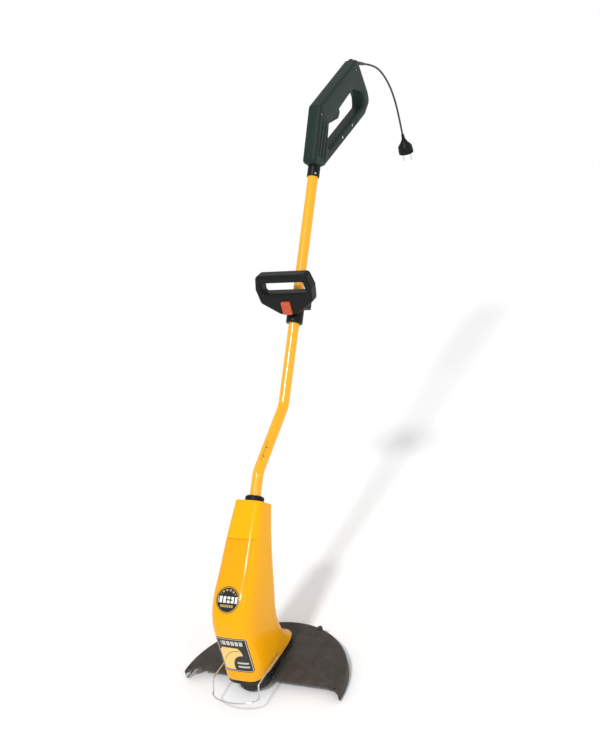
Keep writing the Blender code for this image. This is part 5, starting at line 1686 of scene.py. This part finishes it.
class TRIMMER_OT_aux_handle(bpy.types.Operator):
    """Build the sliding front handle, its clamp and its lock button"""

    bl_idname = "trimmer.aux_handle"
    bl_label = "Front handle"

    def execute(self, context):
        loop = slab([loop_outline(), slot_outline()], both_edges(LOOP_HALF_DEPTH, 5.5 * MM), LOOP_PLANE)
        funnel = slab([slot_outline()], [(LOOP_HALF_DEPTH - 5 * MM, 0.5 * MM),
                                         (LOOP_HALF_DEPTH + 3 * MM, -7 * MM)], LOOP_PLANE)
        body = softened(join(cut(loop, funnel), collar_solid()), 0.8 * MM, 12)
        region = block((-0.1, GAP / 2, -0.1), (0.2, 0.15, 0.1), CLAMP_PLANE)
        body = cut(keep(body, region), *clamp_cuts())
        depth = 15 * MM
        space = facing_front(Vector((0, BUTTON_FACE + depth, BUTTON_Z)))
        outline = rounded_box(10 * MM, 14 * MM, 2.5 * MM, 6)
        pocket = slab([inset(outline, -0.5 * MM)], [(-4 * MM, 0), (40 * MM, 0)], space)
        body = cut(body, pocket)
        piece("sliding_loop", body, "black_plastic", "aux_handle", stands_for=["aux_handle"], crease=40)
        region = block((-0.1, -0.15, -0.1), (0.2, -GAP / 2, 0.1), CLAMP_PLANE)
        clamp = cut(keep(collar_solid(), region), *clamp_cuts())
        piece("clamp_half", clamp, "black_plastic", "aux_handle", stands_for=["aux_clamp"])
        screws("clamp_screws", CLAMP_SCREWS, FORWARD, 12.5 * MM, "aux_handle",
               ["aux_screw_left", "aux_screw_right"])
        button = slab([outline], edge_levels(0, depth, 2.4 * MM, 5), space)
        groove = rod(0.8 * MM, 14 * MM, (-7 * MM, 0, 0), RIGHT, 16)
        grooves = repeated(groove, 5, step=(0, 0, 4.0 * MM), surface="orange_plastic",
                           space=Matrix.Translation((0, BUTTON_FACE, BUTTON_Z - 8 * MM)))
        piece("slide_button", cut(button, grooves), "orange_plastic", "lock_button",
              stands_for=["lock_button"])
        return {"FINISHED"}


# ---------------------------------------------------------------- inner parts, studio and camera


class TRIMMER_OT_inner(bpy.types.Operator):
    """Give every solid that shows as it is the finish of its own material"""

    bl_idname = "trimmer.inner"
    bl_label = "Inner parts"

    def execute(self, context):
        slots = {row["node"]: row["material_slot"] for row in frame["record"]["subparts"]}
        for name, node in frame["nodes"].items():
            if node.hide_render:
                continue
            node.data.materials.clear()
            node.data.materials.append(finish(slots[name]))
        return {"FINISHED"}


def add_light(name, kind, power, towards):
    """A light that shines from this direction."""
    data = bpy.data.lights.new(name, kind)
    data.energy = power
    light = add_object(name, data)
    light.rotation_mode = "QUATERNION"
    light.rotation_quaternion = towards.to_track_quat("Z", "Y")
    return light


class TRIMMER_OT_stage(bpy.types.Operator):
    """Set the floor, the lights and the sky"""

    bl_idname = "trimmer.stage"
    bl_label = "Studio"

    def execute(self, context):
        studio = context.scene.trimmer_studio
        bm = bmesh.new()
        bmesh.ops.create_grid(bm, x_segments=1, y_segments=1, size=80)
        mesh = bpy.data.meshes.new("studio_floor")
        bm.to_mesh(mesh)
        bm.free()
        mesh.materials.append(studio_floor(tuple(studio.floor)))
        floor = add_object("studio_floor", mesh)
        floor.location = (0, 0, -0.2 * MM)
        key = add_light("key", "SUN", studio.key, KEY_WAY)
        key.data.angle = math.radians(8)
        strip = add_light("strip", "AREA", studio.strip, STRIP_AT - STRIP_TARGET)
        strip.location = STRIP_AT
        strip.data.shape = "RECTANGLE"
        strip.data.size, strip.data.size_y = 0.07, 1.3
        world = bpy.data.worlds.new("soft_sky")
        world.use_nodes = True
        background = world.node_tree.nodes["Background"]
        background.inputs["Color"].default_value = (1, 1, 1, 1)
        background.inputs["Strength"].default_value = studio.sky
        context.scene.world = world
        context.scene.view_settings.view_transform = "Standard"
        return {"FINISHED"}


class TRIMMER_OT_camera(bpy.types.Operator):
    """Stand the camera in front of the tool, to its right and above it"""

    bl_idname = "trimmer.camera"
    bl_label = "Camera"

    def execute(self, context):
        data = bpy.data.cameras.new("camera")
        data.lens = LENS
        data.sensor_width = SENSOR
        camera = add_object("camera", data)
        camera.matrix_world = plane_matrix(CAMERA_AT, *CAMERA_AXES)
        context.scene.camera = camera
        return {"FINISHED"}


MAKING = (
    TRIMMER_OT_camera, TRIMMER_OT_cord, TRIMMER_OT_housing, TRIMMER_OT_prints, TRIMMER_OT_base,
    TRIMMER_OT_guard, TRIMMER_OT_bow, TRIMMER_OT_head, TRIMMER_OT_shaft, TRIMMER_OT_handle,
    TRIMMER_OT_aux_handle, TRIMMER_OT_inner, TRIMMER_OT_stage,
)


class TRIMMER_PT_panel(bpy.types.Panel):
    """The trimmer's pieces, in the order of making"""

    bl_idname = "TRIMMER_PT_panel"
    bl_label = "String trimmer"
    bl_space_type = "VIEW_3D"
    bl_region_type = "UI"
    bl_category = "Trimmer"

    def draw(self, context):
        layout = self.layout
        for group in ("trimmer_colours", "trimmer_sizes", "trimmer_studio"):
            settings = getattr(context.scene, group)
            for name in settings.__annotations__:
                layout.prop(settings, name)
        for made in MAKING:
            layout.operator(made.bl_idname)


SETTINGS = {
    "trimmer_colours": TrimmerColours,
    "trimmer_sizes": TrimmerSizes,
    "trimmer_studio": TrimmerStudio,
}
CLASSES = (*SETTINGS.values(), *MAKING, TRIMMER_PT_panel)


def register():
    for made in CLASSES:
        bpy.utils.register_class(made)
    for name, group in SETTINGS.items():
        setattr(bpy.types.Scene, name, PointerProperty(type=group))


def unregister():
    for name in SETTINGS:
        delattr(bpy.types.Scene, name)
    for made in reversed(CLASSES):
        bpy.utils.unregister_class(made)


def corners(box):
    return [list(corner) for corner in box]


def main():
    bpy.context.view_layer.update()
    register()
    for made in MAKING:
        family, name = made.bl_idname.split(".")
        getattr(getattr(bpy.ops, family), name)()


if __name__ == "__main__":
    main()
